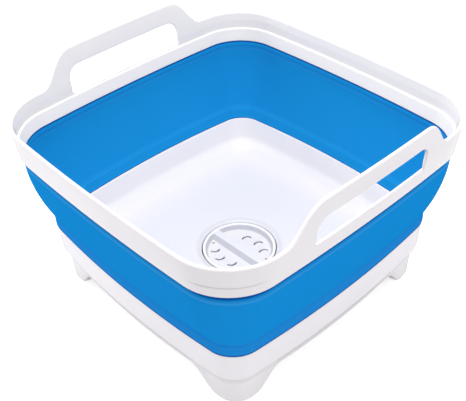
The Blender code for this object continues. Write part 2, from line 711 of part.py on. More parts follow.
def build_strainer(material):
    ring_inner = PLUG_RADIUS - PLUG_RING
    cup_centre = (ring_inner - PLUG_CUP_ROUND, PLUG_FLOOR + PLUG_CUP_ROUND)
    cup_wall = arc(cup_centre, PLUG_CUP_ROUND, PLUG_CUP_ROUND, -90.0, 0.0, EDGE_STEPS)
    bore_top = BOSS_BOTTOM + BOSS_BORE_DEPTH
    profile = [(STEM_RADIUS, PLUG_FLOOR)] + cup_wall + [
        (ring_inner, PLUG_TOP - PLUG_EDGE_ROUND),
        (ring_inner + PLUG_EDGE_ROUND, PLUG_TOP),
        (PLUG_RADIUS - PLUG_EDGE_ROUND, PLUG_TOP),
        (PLUG_RADIUS, PLUG_TOP - PLUG_EDGE_ROUND),
        (PLUG_RADIUS, PLUG_BOTTOM + PLUG_BASE_ROUND),
        (PLUG_RADIUS - PLUG_BASE_ROUND, PLUG_BOTTOM),
        (BOSS_RADIUS, PLUG_BOTTOM),
        (BOSS_RADIUS, BOSS_BOTTOM),
        (STEM_BORE_RADIUS, BOSS_BOTTOM),
        (STEM_BORE_RADIUS, bore_top),
    ]
    plug = turned("strainer_plug", profile, material, poles=(PLUG_FLOOR, bore_top))
    plug.rotation_euler = (0.0, 0.0, PLUG_TURN)
    combine(plug, grip_bar(ring_inner), "UNION")
    for half_turn in (PLUG_TURN, PLUG_TURN + math.pi):
        for centre in np.array(SLIT_CENTRE_SHARES) * PLUG_RADIUS:
            combine(plug, through_cutter(slit_plan(centre), half_turn), "DIFFERENCE")
        hole = circle(DRAIN_HOLE_RADIUS, STEM_STEPS // 2) + np.array(DRAIN_HOLE_SHARES) * PLUG_RADIUS
        combine(plug, through_cutter(hole, half_turn), "DIFFERENCE")


def grip_bar(ring_inner):
    """The bar across the cup, with rounded upper edges, its ends let into the ring."""
    top = PLUG_TOP - BAR_DROP
    half = BAR_WIDTH / 2
    right = arc((half - BAR_ROUND, top - BAR_ROUND), BAR_ROUND, BAR_ROUND, 0.0, 90.0, EDGE_STEPS)
    left = arc((BAR_ROUND - half, top - BAR_ROUND), BAR_ROUND, BAR_ROUND, 90.0, 180.0, EDGE_STEPS)
    section = [(-half, PLUG_FLOOR - BAR_SINK), (half, PLUG_FLOOR - BAR_SINK)] + right + left
    reach = math.sqrt((ring_inner + PLUG_RING / 2) ** 2 - half ** 2)
    shell = bmesh.new()
    for loop in skin(shell, [np.array([(x, y, z) for y, z in section]) for x in (-reach, reach)], closed=False):
        shell.faces.new(loop)
    bar = to_object("grip_bar", shell, None)
    bar.rotation_euler = (0.0, 0.0, PLUG_TURN)
    return bar


def slit_plan(centre):
    """A slit that follows part of a circle round its centre, with pointed ends."""
    wide_radius = SLIT_BEND + SLIT_WIDTH / 2
    tight_radius = SLIT_BEND - SLIT_WIDTH / 2
    wide = arc(centre, wide_radius, wide_radius, SLIT_START, SLIT_END, SLIT_STEPS)
    tight = arc(centre, tight_radius, tight_radius, SLIT_END, SLIT_START, SLIT_STEPS)
    tip = math.degrees(SLIT_WIDTH / 2 / SLIT_BEND)
    end, start = arc(centre, SLIT_BEND, SLIT_BEND, SLIT_END + tip, SLIT_START - tip, 1)
    return np.array(wide + [end] + tight + [start])


def through_cutter(plan, turn):
    """A cutter through the floor of the cup, with its plan turned round the Z axis."""
    cosine, sine = math.cos(turn), math.sin(turn)
    turned_plan = [(x * cosine - y * sine, x * sine + y * cosine) for x, y in plan]
    return prism("cutter", turned_plan, PLUG_BOTTOM - OVERRUN, PLUG_FLOOR + PLUG_CUP_DEPTH / 2)


def build_stem(material):
    top = BOSS_BOTTOM + BOSS_BORE_DEPTH - CLEARANCE
    profile = [
        (STEM_RADIUS - STEM_CHAMFER, STEM_BOTTOM),
        (STEM_RADIUS, STEM_BOTTOM + STEM_CHAMFER),
        (STEM_RADIUS, COLLAR_BOTTOM),
        (COLLAR_RADIUS, COLLAR_BOTTOM),
        (COLLAR_RADIUS, COLLAR_TOP),
        (STEM_RADIUS, COLLAR_TOP),
        (STEM_RADIUS, top),
    ]
    turned("plug_stem", profile, material, steps=STEM_STEPS, poles=(STEM_BOTTOM, top))


def build_washer(material):
    inner = STEM_BORE_RADIUS
    profile = [(inner, WASHER_BOTTOM), (WASHER_RADIUS, WASHER_BOTTOM), (WASHER_RADIUS, WASHER_TOP), (inner, WASHER_TOP)]
    turned("seal_washer", profile, material, steps=STEM_STEPS)


def build_stopper(material):
    """A soft disc, thick at its hub and thin at the lip that meets the seat."""
    profile = [
        (STEM_BORE_RADIUS, STOPPER_BOTTOM),
        (STOPPER_RADIUS - STOPPER_LIP / 2, STOPPER_BOTTOM),
        (STOPPER_RADIUS, STOPPER_BOTTOM + STOPPER_LIP / 2),
        (STOPPER_RADIUS - STOPPER_LIP / 2, STOPPER_BOTTOM + STOPPER_LIP),
        (STOPPER_HUB_RADIUS + STOPPER_LIP, STOPPER_BOTTOM + STOPPER_LIP),
        (STOPPER_HUB_RADIUS, STOPPER_TOP),
        (STEM_BORE_RADIUS, STOPPER_TOP),
    ]
    turned("stopper_seal", profile, material, steps=FITTING_STEPS)


def main():
    clear_scene()
    white = finish_material("white_polypropylene", (0.86, 0.85, 0.87), 0.38)
    tray_white = finish_material("tray_polypropylene", (0.87, 0.86, 0.88), 0.42)
    blue = finish_material("blue_elastomer", (0.010, 0.245, 0.730), 0.48)
    fitting = finish_material("drain_plastic", (0.84, 0.84, 0.86), 0.40)
    nut_plastic = finish_material("nut_plastic", (0.80, 0.80, 0.82), 0.45)
    plug_white = finish_material("plug_plastic", (0.88, 0.87, 0.89), 0.36)
    grey_rubber = finish_material("gasket_rubber", (0.10, 0.10, 0.11), 0.70)
    pale_rubber = finish_material("stopper_rubber", (0.55, 0.56, 0.58), 0.62)
    steel = finish_material("washer_steel", (0.60, 0.60, 0.61), 0.32, 1.0)
    stem_plastic = finish_material("stem_plastic", (0.82, 0.82, 0.84), 0.40)
    build_rim(white)
    build_wall(blue)
    build_tray(tray_white)
    build_drain_body(fitting)
    build_gasket(grey_rubber)
    build_nut(nut_plastic)
    build_strainer(plug_white)
    build_stem(stem_plastic)
    build_washer(steel)
    build_stopper(pale_rubber)


main()
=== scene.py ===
import math

import bmesh
import bpy
import numpy as np
from mathutils import Matrix, Vector


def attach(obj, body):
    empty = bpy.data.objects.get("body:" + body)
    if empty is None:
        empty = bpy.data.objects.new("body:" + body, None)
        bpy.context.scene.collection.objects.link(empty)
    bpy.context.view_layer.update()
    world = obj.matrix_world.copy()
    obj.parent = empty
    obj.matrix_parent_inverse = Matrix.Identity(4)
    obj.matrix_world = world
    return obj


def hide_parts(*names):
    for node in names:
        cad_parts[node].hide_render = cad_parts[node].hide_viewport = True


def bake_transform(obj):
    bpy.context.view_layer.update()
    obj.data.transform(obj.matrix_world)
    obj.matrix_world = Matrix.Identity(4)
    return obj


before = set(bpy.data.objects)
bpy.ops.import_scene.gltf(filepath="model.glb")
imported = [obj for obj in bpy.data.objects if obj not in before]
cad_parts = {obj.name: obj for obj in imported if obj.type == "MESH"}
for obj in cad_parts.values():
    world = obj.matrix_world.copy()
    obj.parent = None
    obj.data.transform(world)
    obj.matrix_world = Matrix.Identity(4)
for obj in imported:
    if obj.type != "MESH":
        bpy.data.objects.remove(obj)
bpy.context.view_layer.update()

# Sizes are in metres, angles in degrees, colours are linear.
mm = 0.001

# The plan that rim, wall and tray share. An inset is how far a line lies inside the rim's edge.
# Columns of points stand along the sides, up to sideShare of the straight, and round the corners.
plan = {
    "span": 300.0 * mm, "cornerRadius": 48.0 * mm, "tightening": 1.45, "ease": 137.0 * mm,
    "leastRadius": 0.8 * mm, "bow": 4.4 * mm, "bowGrowth": 0.17,
    "cornerSteps": 16, "sideShare": 0.96, "sideColumns": 19,
}
levels = {
    "floorUnder": 28.5 * mm, "floorTop": 31.5 * mm, "trayTop": 66.7 * mm,
    "rimBottom": 149.0 * mm, "rimTop": 178.0 * mm, "clearance": 0.3 * mm,
}
# How meshes are joined and marked. arcShare is the most of a side that a round corner takes.
meshing = {
    "repeatGap": 1e-7, "weldGap": 1e-6, "arcShare": 0.49, "sharpAngle": 50.0,
    # The three below set where painted light on inner faces and painted shade under down-facing faces go.
    "insideMiddle": 0.5, "underShadeFrom": 0.4, "underShadeSlope": 2.2,
}


class Signal:
    # One socket of a material. Python's operators on it add Math nodes.
    def __init__(self, finish, socket):
        self.finish = finish
        self.socket = socket

    def __add__(self, other):
        return self.finish.maths("ADD", self, other)

    def __sub__(self, other):
        return self.finish.maths("SUBTRACT", self, other)

    def __rsub__(self, other):
        return self.finish.maths("SUBTRACT", other, self)

    def __mul__(self, other):
        return self.finish.maths("MULTIPLY", self, other)

    def __abs__(self):
        return self.finish.maths("ABSOLUTE", self)

    __radd__ = __add__
    __rmul__ = __mul__

    # A soft step from 0 to 1 as the value goes from low to high.
    def ramp(self, low, high):
        settings = {"interpolation_type": "SMOOTHSTEP"}
        sockets = {0: self, 1: low, 2: high, 3: 0.0, 4: 1.0}
        return self.finish.add("ShaderNodeMapRange", settings, sockets)

    # 1 at the centre, falling to 0 at the given distance either side.
    def band(self, centre, reach):
        return 1.0 - abs(self - centre).ramp(0.0, reach)


class Finish:
    # The nodes of a material, or of the world, and the shader that they drive.
    def __init__(self, owner, shader="Principled BSDF", **fixed):
        owner.use_nodes = True
        self.owner = owner
        self.tree = owner.node_tree
        self.shader = self.tree.nodes[shader]
        for socket, value in fixed.items():
            self.shader.inputs[socket.replace("_", " ")].default_value = value

    # Any node: its settings first, then the values or links of its sockets.
    def add(self, kind, settings=None, sockets=None, output=0):
        node = self.tree.nodes.new(kind)
        for name, value in (settings or {}).items():
            setattr(node, name, value)
        for name, value in (sockets or {}).items():
            if isinstance(value, Signal):
                self.tree.links.new(value.socket, node.inputs[name])
            else:
                node.inputs[name].default_value = value
        return Signal(self, node.outputs[output])

    def maths(self, operation, *values):
        return self.add("ShaderNodeMath", {"operation": operation}, dict(enumerate(values)))

    def drive(self, socket, signal):
        self.tree.links.new(signal.socket, self.shader.inputs[socket])

    def objectPlace(self):
        return self.add("ShaderNodeTexCoord", output="Object")

    def heightOf(self, place):
        return self.add("ShaderNodeSeparateXYZ", sockets={0: place}, output="Z")

    def attribute(self, name, output="Fac"):
        return self.add("ShaderNodeAttribute", {"attribute_name": name}, output=output)

    # How far a place lies from the Z axis.
    def radiusOf(self, place):
        sockets = {0: place, 1: (1.0, 1.0, 0.0)}
        flat = self.add("ShaderNodeVectorMath", {"operation": "MULTIPLY"}, sockets)
        return self.add("ShaderNodeVectorMath", {"operation": "LENGTH"}, {0: flat}, output="Value")

    # 0 where a face looks at the viewer, 1 where it turns away.
    def turnedAway(self):
        return self.add("ShaderNodeLayerWeight", sockets={"Blend": 0.5}, output="Facing")

    # 1 for what the camera sees straight on, in a gloss or through glass, 0 for what only gives light.
    def shown(self):
        path = [self.add("ShaderNodeLightPath", output=f"Is {ray} Ray")
                for ray in ("Camera", "Glossy", "Transmission")]
        return self.maths("MAXIMUM", self.maths("MAXIMUM", *path[:2]), path[2])

    def noise(self, place, scale, detail, roughness=0.5):
        return self.add("ShaderNodeTexNoise", sockets={
            "Vector": place, "Scale": scale, "Detail": detail, "Roughness": roughness})

    def mixed(self, share, first, second):
        sockets = {0: share, 6: first, 7: second}
        return self.add("ShaderNodeMix", {"data_type": "RGBA"}, sockets, output=2)

    def bump(self, height, strength, distance):
        sockets = {"Height": height, "Strength": strength, "Distance": distance}
        self.drive("Normal", self.add("ShaderNodeBump", sockets=sockets))


def smoothStep(share):
    # Quintic step: 6t^5 - 15t^4 + 10t^3, flat at both ends.
    t = np.clip(share, 0.0, 1.0)
    return t * t * t * (t * (6.0 * t - 15.0) + 10.0)


def quarterBend(steps):
    # A round bend in even steps of its angle, as shares of its radius: how far it still has to go
    # one way, 1 - sin, and how far it has come the other way, 1 - cos.
    angle = np.radians(np.linspace(0.0, 90.0, steps + 1))
    return 1.0 - np.sin(angle), 1.0 - np.cos(angle)


def evenShares(reach, count):
    # Shares of a side's straight at which columns stand, evenly from near one end to near the other.
    return np.linspace(-reach, reach, count)


def planColumns(xSides, ySides):
    # Columns round the basin: the share along a side, the angle round its corner and the quarter.
    angles = np.linspace(0.0, math.pi / 2, plan["cornerSteps"] + 1)
    columns = []
    for quarter, sides in enumerate((xSides, ySides, xSides, ySides)):
        share = np.concatenate([sides, np.ones(len(angles))])
        angle = np.concatenate([np.zeros(len(sides)), angles])
        columns.append(np.stack([share, angle, np.full(len(share), quarter * math.pi / 2)]))
    return np.concatenate(columns, axis=1)


def planLine(inset, columns):
    # A square with round corners: a point goes the share of the straight along its side, then
    # round the corner by its angle. Each side bows in towards its ends by the square of the way along.
    share, angle, turn = columns
    inset = np.atleast_1d(inset)[:, None]
    half = plan["span"] / 2 - inset
    radius = plan["cornerRadius"] - plan["tightening"] * inset + inset ** 2 / plan["ease"]
    radius = np.maximum(radius, plan["leastRadius"])
    bow = plan["bow"] + plan["bowGrowth"] * inset
    straight = half - radius
    along = straight + radius * np.cos(angle)
    across = share * straight + radius * np.sin(angle)
    x = along * np.cos(turn) - across * np.sin(turn)
    y = along * np.sin(turn) + across * np.cos(turn)
    return x * (1.0 - bow * (y / half) ** 2 / half), y * (1.0 - bow * (x / half) ** 2 / half)


def sweptRound(section, columns):
    # A section of (inset, height) swept round the plan.
    x, y = planLine(section[:, 0], columns)
    return np.stack([x, y, np.broadcast_to(section[:, 1:2], x.shape)], axis=2)


def turnedRound(section, angle):
    # A section of (radius, height) turned round the Z axis.
    radius, height = section[:, :1], section[:, 1:]
    x, y = radius * np.cos(angle), radius * np.sin(angle)
    return np.stack([x, y, np.broadcast_to(height, x.shape)], axis=2)


def roundOff(corners, closed=True, arcSteps=4):
    # Rounds a section's corners. Each row ends with its radius, and its arc is a rational curve that
    # leaves one side and joins the next at the radius over the tangent of half the angle inside.
    rows = np.array(corners, float)
    points, radius = rows[:, :-1], rows[:, -1].copy()
    if not closed:
        radius[[0, -1]] = 0.0
    before = np.roll(points, 1, axis=0) - points
    after = np.roll(points, -1, axis=0) - points
    lengthBefore = np.hypot(before[:, 0], before[:, 1])
    lengthAfter = np.hypot(after[:, 0], after[:, 1])
    cosine = (before[:, :2] * after[:, :2]).sum(axis=1) / (lengthBefore * lengthAfter)
    halfInside = np.arccos(np.clip(cosine, -1.0, 1.0)) / 2
    most = meshing["arcShare"] * np.minimum(lengthBefore, lengthAfter)
    tangent = np.minimum(radius / np.tan(halfInside), most)
    start = points + before * (tangent / lengthBefore)[:, None]
    end = points + after * (tangent / lengthAfter)[:, None]
    t = np.linspace(0.0, 1.0, arcSteps + 1)[None, :, None]
    pull = 2.0 * t * (1.0 - t) * np.sin(halfInside)[:, None, None]
    total = (1.0 - t) ** 2 + pull + t ** 2
    path = ((1.0 - t) ** 2 * start[:, None] + pull * points[:, None] + t ** 2 * end[:, None]) / total
    return distinct(path.reshape(-1, points.shape[1]))


def distinct(path):
    # Leaves out points that repeat the one before them.
    gap = np.hypot(*np.diff(path[:, :2], axis=0).T)
    return path[np.concatenate([[True], gap > meshing["repeatGap"]])]


def fineSteps(path, longest, closed=False):
    # Splits each stretch of a path into equal steps no longer than the given length.
    if closed:
        path = np.concatenate([path, path[:1]])
    length = np.hypot(*np.diff(path[:, :2], axis=0).T)
    counts = np.maximum(np.ceil(length / longest).astype(int), 1)
    first = np.repeat(np.arange(len(counts)), counts)
    step = np.arange(counts.sum()) - np.repeat(np.cumsum(counts) - counts, counts)
    local = step / np.repeat(counts, counts)
    fine = path[first] + (path[first + 1] - path[first]) * local[:, None]
    return fine if closed else np.concatenate([fine, path[-1:]])


def gridFaces(rows, columns, closedRows, closedColumns, keep=None):
    # Quads of a grid of points, row by row. keep marks the cells that stay.
    r = np.arange(rows if closedRows else rows - 1)
    c = np.arange(columns if closedColumns else columns - 1)
    r, c = np.meshgrid(r, c, indexing="ij")
    if keep is not None:
        r, c = r[keep], c[keep]
    rNext, cNext = (r + 1) % rows, (c + 1) % columns
    corners = [r * columns + c, r * columns + cNext, rNext * columns + cNext, rNext * columns + c]
    return np.stack([corner.ravel() for corner in corners], axis=1)


def makePiece(name, parts, finish):
    # One mesh from several grids of points, welded where their edges meet.
    points = np.concatenate([grid.reshape(-1, 3) for grid, faces in parts])
    starts = np.cumsum([0] + [grid.size // 3 for grid, faces in parts])[:-1]
    faces = np.concatenate([cells + start for (grid, cells), start in zip(parts, starts)])
    mesh = bpy.data.meshes.new(name)
    mesh.from_pydata(points.tolist(), [], faces.tolist())
    coat(mesh, finish, meshing["sharpAngle"])
    return placed(name, mesh)


def coat(mesh, finish, sharpAngle):
    # Welds a mesh, shades it smooth but for edges sharper than the angle, and gives it its finish.
    weld(mesh)
    mesh.shade_smooth()
    mesh.set_sharp_from_angle(angle=math.radians(sharpAngle))
    mesh.materials.clear()
    mesh.materials.append(finish)


def placed(name, data):
    # A mesh, lamp or camera as an object of the scene.
    item = bpy.data.objects.new(name, data)
    bpy.context.scene.collection.objects.link(item)
    return item


def placesOf(mesh):
    # The coordinates of a mesh's points, one after the other.
    place = np.zeros(len(mesh.vertices) * 3, np.float32)
    mesh.vertices.foreach_get("co", place)
    return place


def markSides(mesh, sharpness, upShare):
    # Two attributes for the finishes: how far a point faces the axis (or up, by upShare), which picks out
    # the inner faces that get a lighter copy of their colour as painted light, and how far it faces down,
    # which picks out painted shade. Both come from the normal, the first from its part along the way to
    # the axis.
    place = placesOf(mesh).reshape(-1, 3)
    normal = np.zeros(place.size, np.float32)
    mesh.vertex_normals.foreach_get("vector", normal)
    normal = normal.reshape(-1, 3)
    outward = place[:, :2] / np.maximum(np.hypot(place[:, 0], place[:, 1]), mm)[:, None]
    inward = -(normal[:, :2] * outward).sum(axis=1) + normal[:, 2] * upShare
    inside = meshing["insideMiddle"] + sharpness * inward
    under = -meshing["underShadeFrom"] - normal[:, 2] * meshing["underShadeSlope"]
    for name, values in (("insideLitShare", inside), ("underShadeShare", under)):
        layer = mesh.attributes.new(name, "FLOAT", "POINT")
        layer.data.foreach_set("value", np.clip(values, 0.0, 1.0))


def weld(mesh):
    # Merges points that lie on each other and turns all faces outwards.
    shell = bmesh.new()
    shell.from_mesh(mesh)
    bmesh.ops.remove_doubles(shell, verts=shell.verts, dist=meshing["weldGap"])
    bmesh.ops.recalc_face_normals(shell, faces=shell.faces)
    shell.to_mesh(mesh)
    shell.free()


# The rim. The crease sinks in at the corners, between creaseFrom and creaseFull off the middle.
rim = {
    "flare": 3.2 * mm, "creaseFlare": 1.95 * mm, "creaseHeight": 10.1 * mm, "upperFlare": 0.6 * mm,
    "creaseReach": 0.7 * mm, "creaseDepth": 0.65 * mm, "creaseFrom": 100.0 * mm, "creaseFull": 118.0 * mm,
    "patchRise": 0.9 * mm, "footRound": 0.6 * mm, "upperDrop": 8.0 * mm, "wall": 3.0 * mm,
    "edgeRound": 1.4 * mm, "crownSteps": 12, "lipOuter": 1.4 * mm, "lipInner": 1.2 * mm,
    "lipRound": 0.5 * mm, "ledgeDrop": 16.4 * mm, "ledgeRise": 0.6 * mm, "ledgeRun": 1.78 * mm,
    "ledgeValley": 0.5 * mm, "ledgeRound": 0.9 * mm, "grooveDepth": 4.5 * mm, "grooveWidth": 1.9 * mm,
    "grooveRound": 0.2 * mm, "longestStep": 1.5 * mm, "sideSharpness": 1.5,
}
handle = {
    "topSpan": 105.0 * mm, "footSpan": 187.0 * mm, "rise": 28.4 * mm, "lean": 2.8 * mm,
    "gripSpan": 124.0 * mm, "gripHeight": 24.8 * mm, "gripSill": 1.6 * mm,
    "shoulderPower": 1.25, "gripCorner": 11.0 * mm, "sillCorner": 1.5 * mm, "gripEdge": 1.3 * mm,
    "gripStep": 0.5 * mm, "cornerArcSteps": 24, "edgeSteps": 4, "rings": 7,
    "patchShare": 0.75, "patchCells": 64, "flankShare": 0.97, "flankSteps": 8,
    "lowRows": 6, "highRows": 12,
}


def handleShare(y, alongX):
    # How much of a handle stands over a point: a quintic step up from its foot to its top, steeper
    # at the foot by a power of the way that is left to the top.
    run = (handle["footSpan"] - handle["topSpan"]) / 2
    left = np.clip((np.abs(y) - handle["topSpan"] / 2) / run, 0.0, 1.0)
    return np.where(alongX, smoothStep(1.0 - left ** handle["shoulderPower"]), 0.0)


def rimRows(creaseDepth):
    # The section as rows of (inset, height, share of the handle's rise), in five stretches.
    bottom, top = levels["rimBottom"], levels["rimTop"]
    knee = top - rim["upperDrop"]
    edge = top - rim["edgeRound"]
    ledge = top - rim["ledgeDrop"]
    crease = bottom + rim["creaseHeight"]
    patchFoot = crease + rim["patchRise"]
    grooveOuter = rim["flare"] + rim["lipOuter"]
    grooveInner = grooveOuter + rim["grooveWidth"]
    footInner = grooveInner + rim["lipInner"]
    tilt = (rim["creaseFlare"] - rim["upperFlare"]) / (knee - crease)
    footInset = rim["creaseFlare"] - tilt * (patchFoot - crease)
    reach = rim["creaseReach"]
    innerFace = rim["upperFlare"] + rim["wall"]
    lower = fineSteps(roundOff([
        (grooveOuter, bottom, 0, 0),
        (rim["flare"], bottom, 0, rim["footRound"]),
        (rim["creaseFlare"] + tilt * reach, crease - reach, 0, 0),
        (rim["creaseFlare"] + creaseDepth, crease, 0, 0),
        (rim["creaseFlare"] - tilt * reach, crease + reach, 0, 0),
        (footInset, patchFoot, 0, 0),
    ], closed=False), rim["longestStep"])
    outer = patchStretch((footInset, patchFoot), (rim["upperFlare"], knee), (0.0, edge))
    angle = np.linspace(math.pi, 0.0, rim["crownSteps"] + 1)
    half = rim["wall"] / 2
    crown = np.stack([
        half + half * np.cos(angle), edge + rim["edgeRound"] * np.sin(angle),
        np.ones(len(angle))], axis=1)
    innerFoot = ledge + rim["ledgeRise"]
    inner = patchStretch((innerFace, innerFoot), (innerFace, knee), (rim["wall"], edge))[::-1]
    grooveTop = bottom + rim["grooveDepth"]
    back = fineSteps(roundOff([
        (innerFace, innerFoot, 0, 0),
        (innerFace, ledge, 0, rim["ledgeValley"]),
        (innerFace + rim["ledgeRun"], ledge, 0, rim["ledgeRound"]),
        (footInner, bottom, 0, rim["lipRound"]),
        (grooveInner, bottom, 0, rim["grooveRound"]),
        (grooveInner, grooveTop, 0, rim["grooveRound"]),
        (grooveOuter, grooveTop, 0, rim["grooveRound"]),
        (grooveOuter, bottom, 0, 0),
    ], closed=False), rim["longestStep"])
    return lower, outer, crown, inner, back


def patchStretch(foot, knee, edge):
    # Straight from the foot to the knee, then up the handle to the round edge.
    low = np.linspace((*foot, 0.0), (*knee, 0.0), handle["lowRows"] + 1)
    high = np.linspace((*knee, 0.0), (*edge, 1.0), handle["highRows"] + 1)
    return np.concatenate([low, high[1:]])


def faceAcross(y, z, rows):
    # How far out a face of the rim lies at a place (y, z) of its X side.
    knee = levels["rimTop"] - rim["upperDrop"]
    drop = rim["upperDrop"] - rim["edgeRound"]
    share = handleShare(y, True)
    rise = np.clip((z - knee) / (drop + handle["rise"] * share), 0.0, None)
    level = np.where(z < knee, z, knee + rise * drop)
    order = np.argsort(rows[:, 1])
    inset = np.interp(level, rows[order, 1], rows[order, 0])
    half = plan["span"] / 2 - inset
    bow = plan["bow"] + plan["bowGrowth"] * inset
    return half - bow * (y / (1.0 - bow / half) / half) ** 2 + handle["lean"] * share * rise


def gripLoop(cells, rows):
    # The slot's outline (y, z), anticlockwise from its lower left corner, with as many points on each
    # side as the frame of grid cells round it, and the direction out of the slot at each.
    half = handle["gripSpan"] / 2
    sill = levels["rimTop"] - rim["ledgeDrop"] + handle["gripSill"]
    head = sill + handle["gripHeight"]
    low, high = handle["sillCorner"], handle["gripCorner"]
    corners = np.array([(-half, sill, low), (half, sill, low), (half, head, high), (-half, head, high)])
    line = roundOff(corners, arcSteps=handle["cornerArcSteps"])
    line = fineSteps(line, handle["gripStep"], closed=True)
    nearest = [np.argmin(np.abs(line - corner).sum(axis=1)) for corner in corners[:, :2]]
    line = np.roll(line, -nearest[0], axis=0)
    marks = [(index - nearest[0]) % len(line) for index in nearest] + [len(line)]
    closed = np.concatenate([line, line[:1]])
    sides = zip(marks[:-1], marks[1:], (cells, rows, cells, rows))
    place = np.concatenate([np.linspace(first, last, count + 1)[:-1] for first, last, count in sides])
    loop = np.stack([np.interp(place, np.arange(len(closed)), axis) for axis in closed.T], axis=1)
    tangent = np.roll(loop, -1, axis=0) - np.roll(loop, 1, axis=0)
    outward = np.stack([tangent[:, 1], -tangent[:, 0]], axis=1)
    return loop, outward / np.hypot(*outward.T)[:, None]


def frameLoop(grid, top, bottom, left, right):
    # The grid's points round a block of cells, anticlockwise seen from outside.
    rowStep = 1 if top > bottom else -1
    rows = np.arange(bottom, top, rowStep)
    columns = np.arange(left, right)
    return np.concatenate([
        grid[bottom, columns], grid[rows, right],
        grid[top, columns[::-1] + 1], grid[rows[::-1] + rowStep, left]])


def buildRim(finish):
    # The section is swept round the plan and raised at the handles. Each slot lies in a patch of
    # rings that takes the place of a block of the grid's cells.
    flank = np.linspace(handle["patchShare"], handle["flankShare"], handle["flankSteps"] + 1)[1:]
    middle = evenShares(handle["patchShare"], handle["patchCells"] + 1)
    xSides = np.concatenate([-flank[::-1], middle, flank])
    columns = planColumns(xSides, evenShares(plan["sideShare"], plan["sideColumns"]))
    stretches = rimRows(0.0)
    section = np.concatenate([stretch[:-1] for stretch in stretches])
    starts = np.cumsum([0] + [len(stretch) - 1 for stretch in stretches])
    x, y = planLine(section[:, 0], columns)
    # The crease sinks in only at the corners: the plain section goes over to the creased one there.
    creased = np.concatenate([stretch[:-1] for stretch in rimRows(rim["creaseDepth"])])
    creasedX, creasedY = planLine(creased[:, 0], columns)
    offMiddle = np.minimum(np.abs(x), np.abs(y))
    corner = smoothStep((offMiddle - rim["creaseFrom"]) / (rim["creaseFull"] - rim["creaseFrom"]))
    x, y = x + (creasedX - x) * corner, y + (creasedY - y) * corner
    share = handleShare(y, np.abs(x) > np.abs(y)) * section[:, 2:3]
    x, z = x + np.sign(x) * handle["lean"] * share, section[:, 1:2] + handle["rise"] * share
    grid = np.stack([x, y, z], axis=2)
    keep = np.ones(grid.shape[:2], bool)
    parts = []
    outerRows, innerRows = (starts[1], starts[2]), (starts[4], starts[3])
    for side, firstColumn in ((1.0, 0), (-1.0, columns.shape[1] // 2)):
        left = firstColumn + len(flank)
        right = left + handle["patchCells"]
        for low, high in (outerRows, innerRows):
            keep[min(low, high):max(low, high), left:right] = False
        parts += gripParts(grid, side, left, right, outerRows, innerRows, stretches[1], stretches[3])
    parts.append((grid, gridFaces(*grid.shape[:2], True, True, keep)))
    piece = makePiece("rim_moulding", parts, finish)
    markSides(piece.data, rim["sideSharpness"], upShare=0.0)
    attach(piece, "rim")
    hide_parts("rim_frame")


def gripParts(grid, side, left, right, outerRows, innerRows, outerFace, innerFace):
    # Rings from the slot's edge out to the block's frame on both faces, and the rounded edge between.
    rows = handle["lowRows"] + handle["highRows"]
    loop, outward = gripLoop(right - left, rows)
    edge = handle["gripEdge"]
    rimmed = loop + outward * edge
    parts = []
    for (low, high), face in ((outerRows, outerFace), (innerRows, innerFace)):
        border = frameLoop(grid, high, low, left, right) * np.array([side, side, 1.0])
        t = np.linspace(0.0, 1.0, handle["rings"] + 1)[:, None]
        y = rimmed[:, 0] + (border[:, 1] - rimmed[:, 0]) * t
        z = rimmed[:, 1] + (border[:, 2] - rimmed[:, 1]) * t
        x = faceAcross(y, z, face)
        x[-1] = border[:, 0]
        parts.append(np.stack([x * side, y * side, z], axis=2))
    offset, depth = (edge * share[:, None] for share in quarterBend(handle["edgeSteps"]))
    offset, count = np.concatenate([offset, offset[::-1]]), len(depth)
    y = loop[:, 0] + outward[:, 0] * offset
    z = loop[:, 1] + outward[:, 1] * offset
    x = np.concatenate([
        faceAcross(y[:count], z[:count], outerFace) - depth,
        faceAcross(y[count:], z[count:], innerFace) + depth[::-1]])
    parts.append(np.stack([x * side, y * side, z], axis=2))
    return [(part, gridFaces(*part.shape[:2], False, True)) for part in parts]


# The soft wall. Tongues at its edges sit in the grooves of rim and tray.
wall = {
    "thickness": 1.8 * mm, "topBand": 8.5 * mm, "hingeDepth": 0.9 * mm, "hingeHeight": 2.0 * mm,
    "topInset": 5.4 * mm, "footInset": 19.0 * mm, "curvePower": 1.7, "beadHeight": 13.3 * mm,
    "beadWidth": 2.7 * mm, "beadRound": 1.6 * mm, "notch": 0.5 * mm, "rimTongue": 1.3 * mm,
    "rimTongueDepth": 4.2 * mm, "trayTongue": 1.0 * mm, "trayTongueDepth": 3.7 * mm,
    "trayGap": 0.4 * mm, "tightCorner": 0.25 * mm, "softCorner": 1.2 * mm, "panelRows": 25,
    "arcSteps": 3, "longestStep": 1.1 * mm, "sideSharpness": 8.0, "lipParts": 3,
}


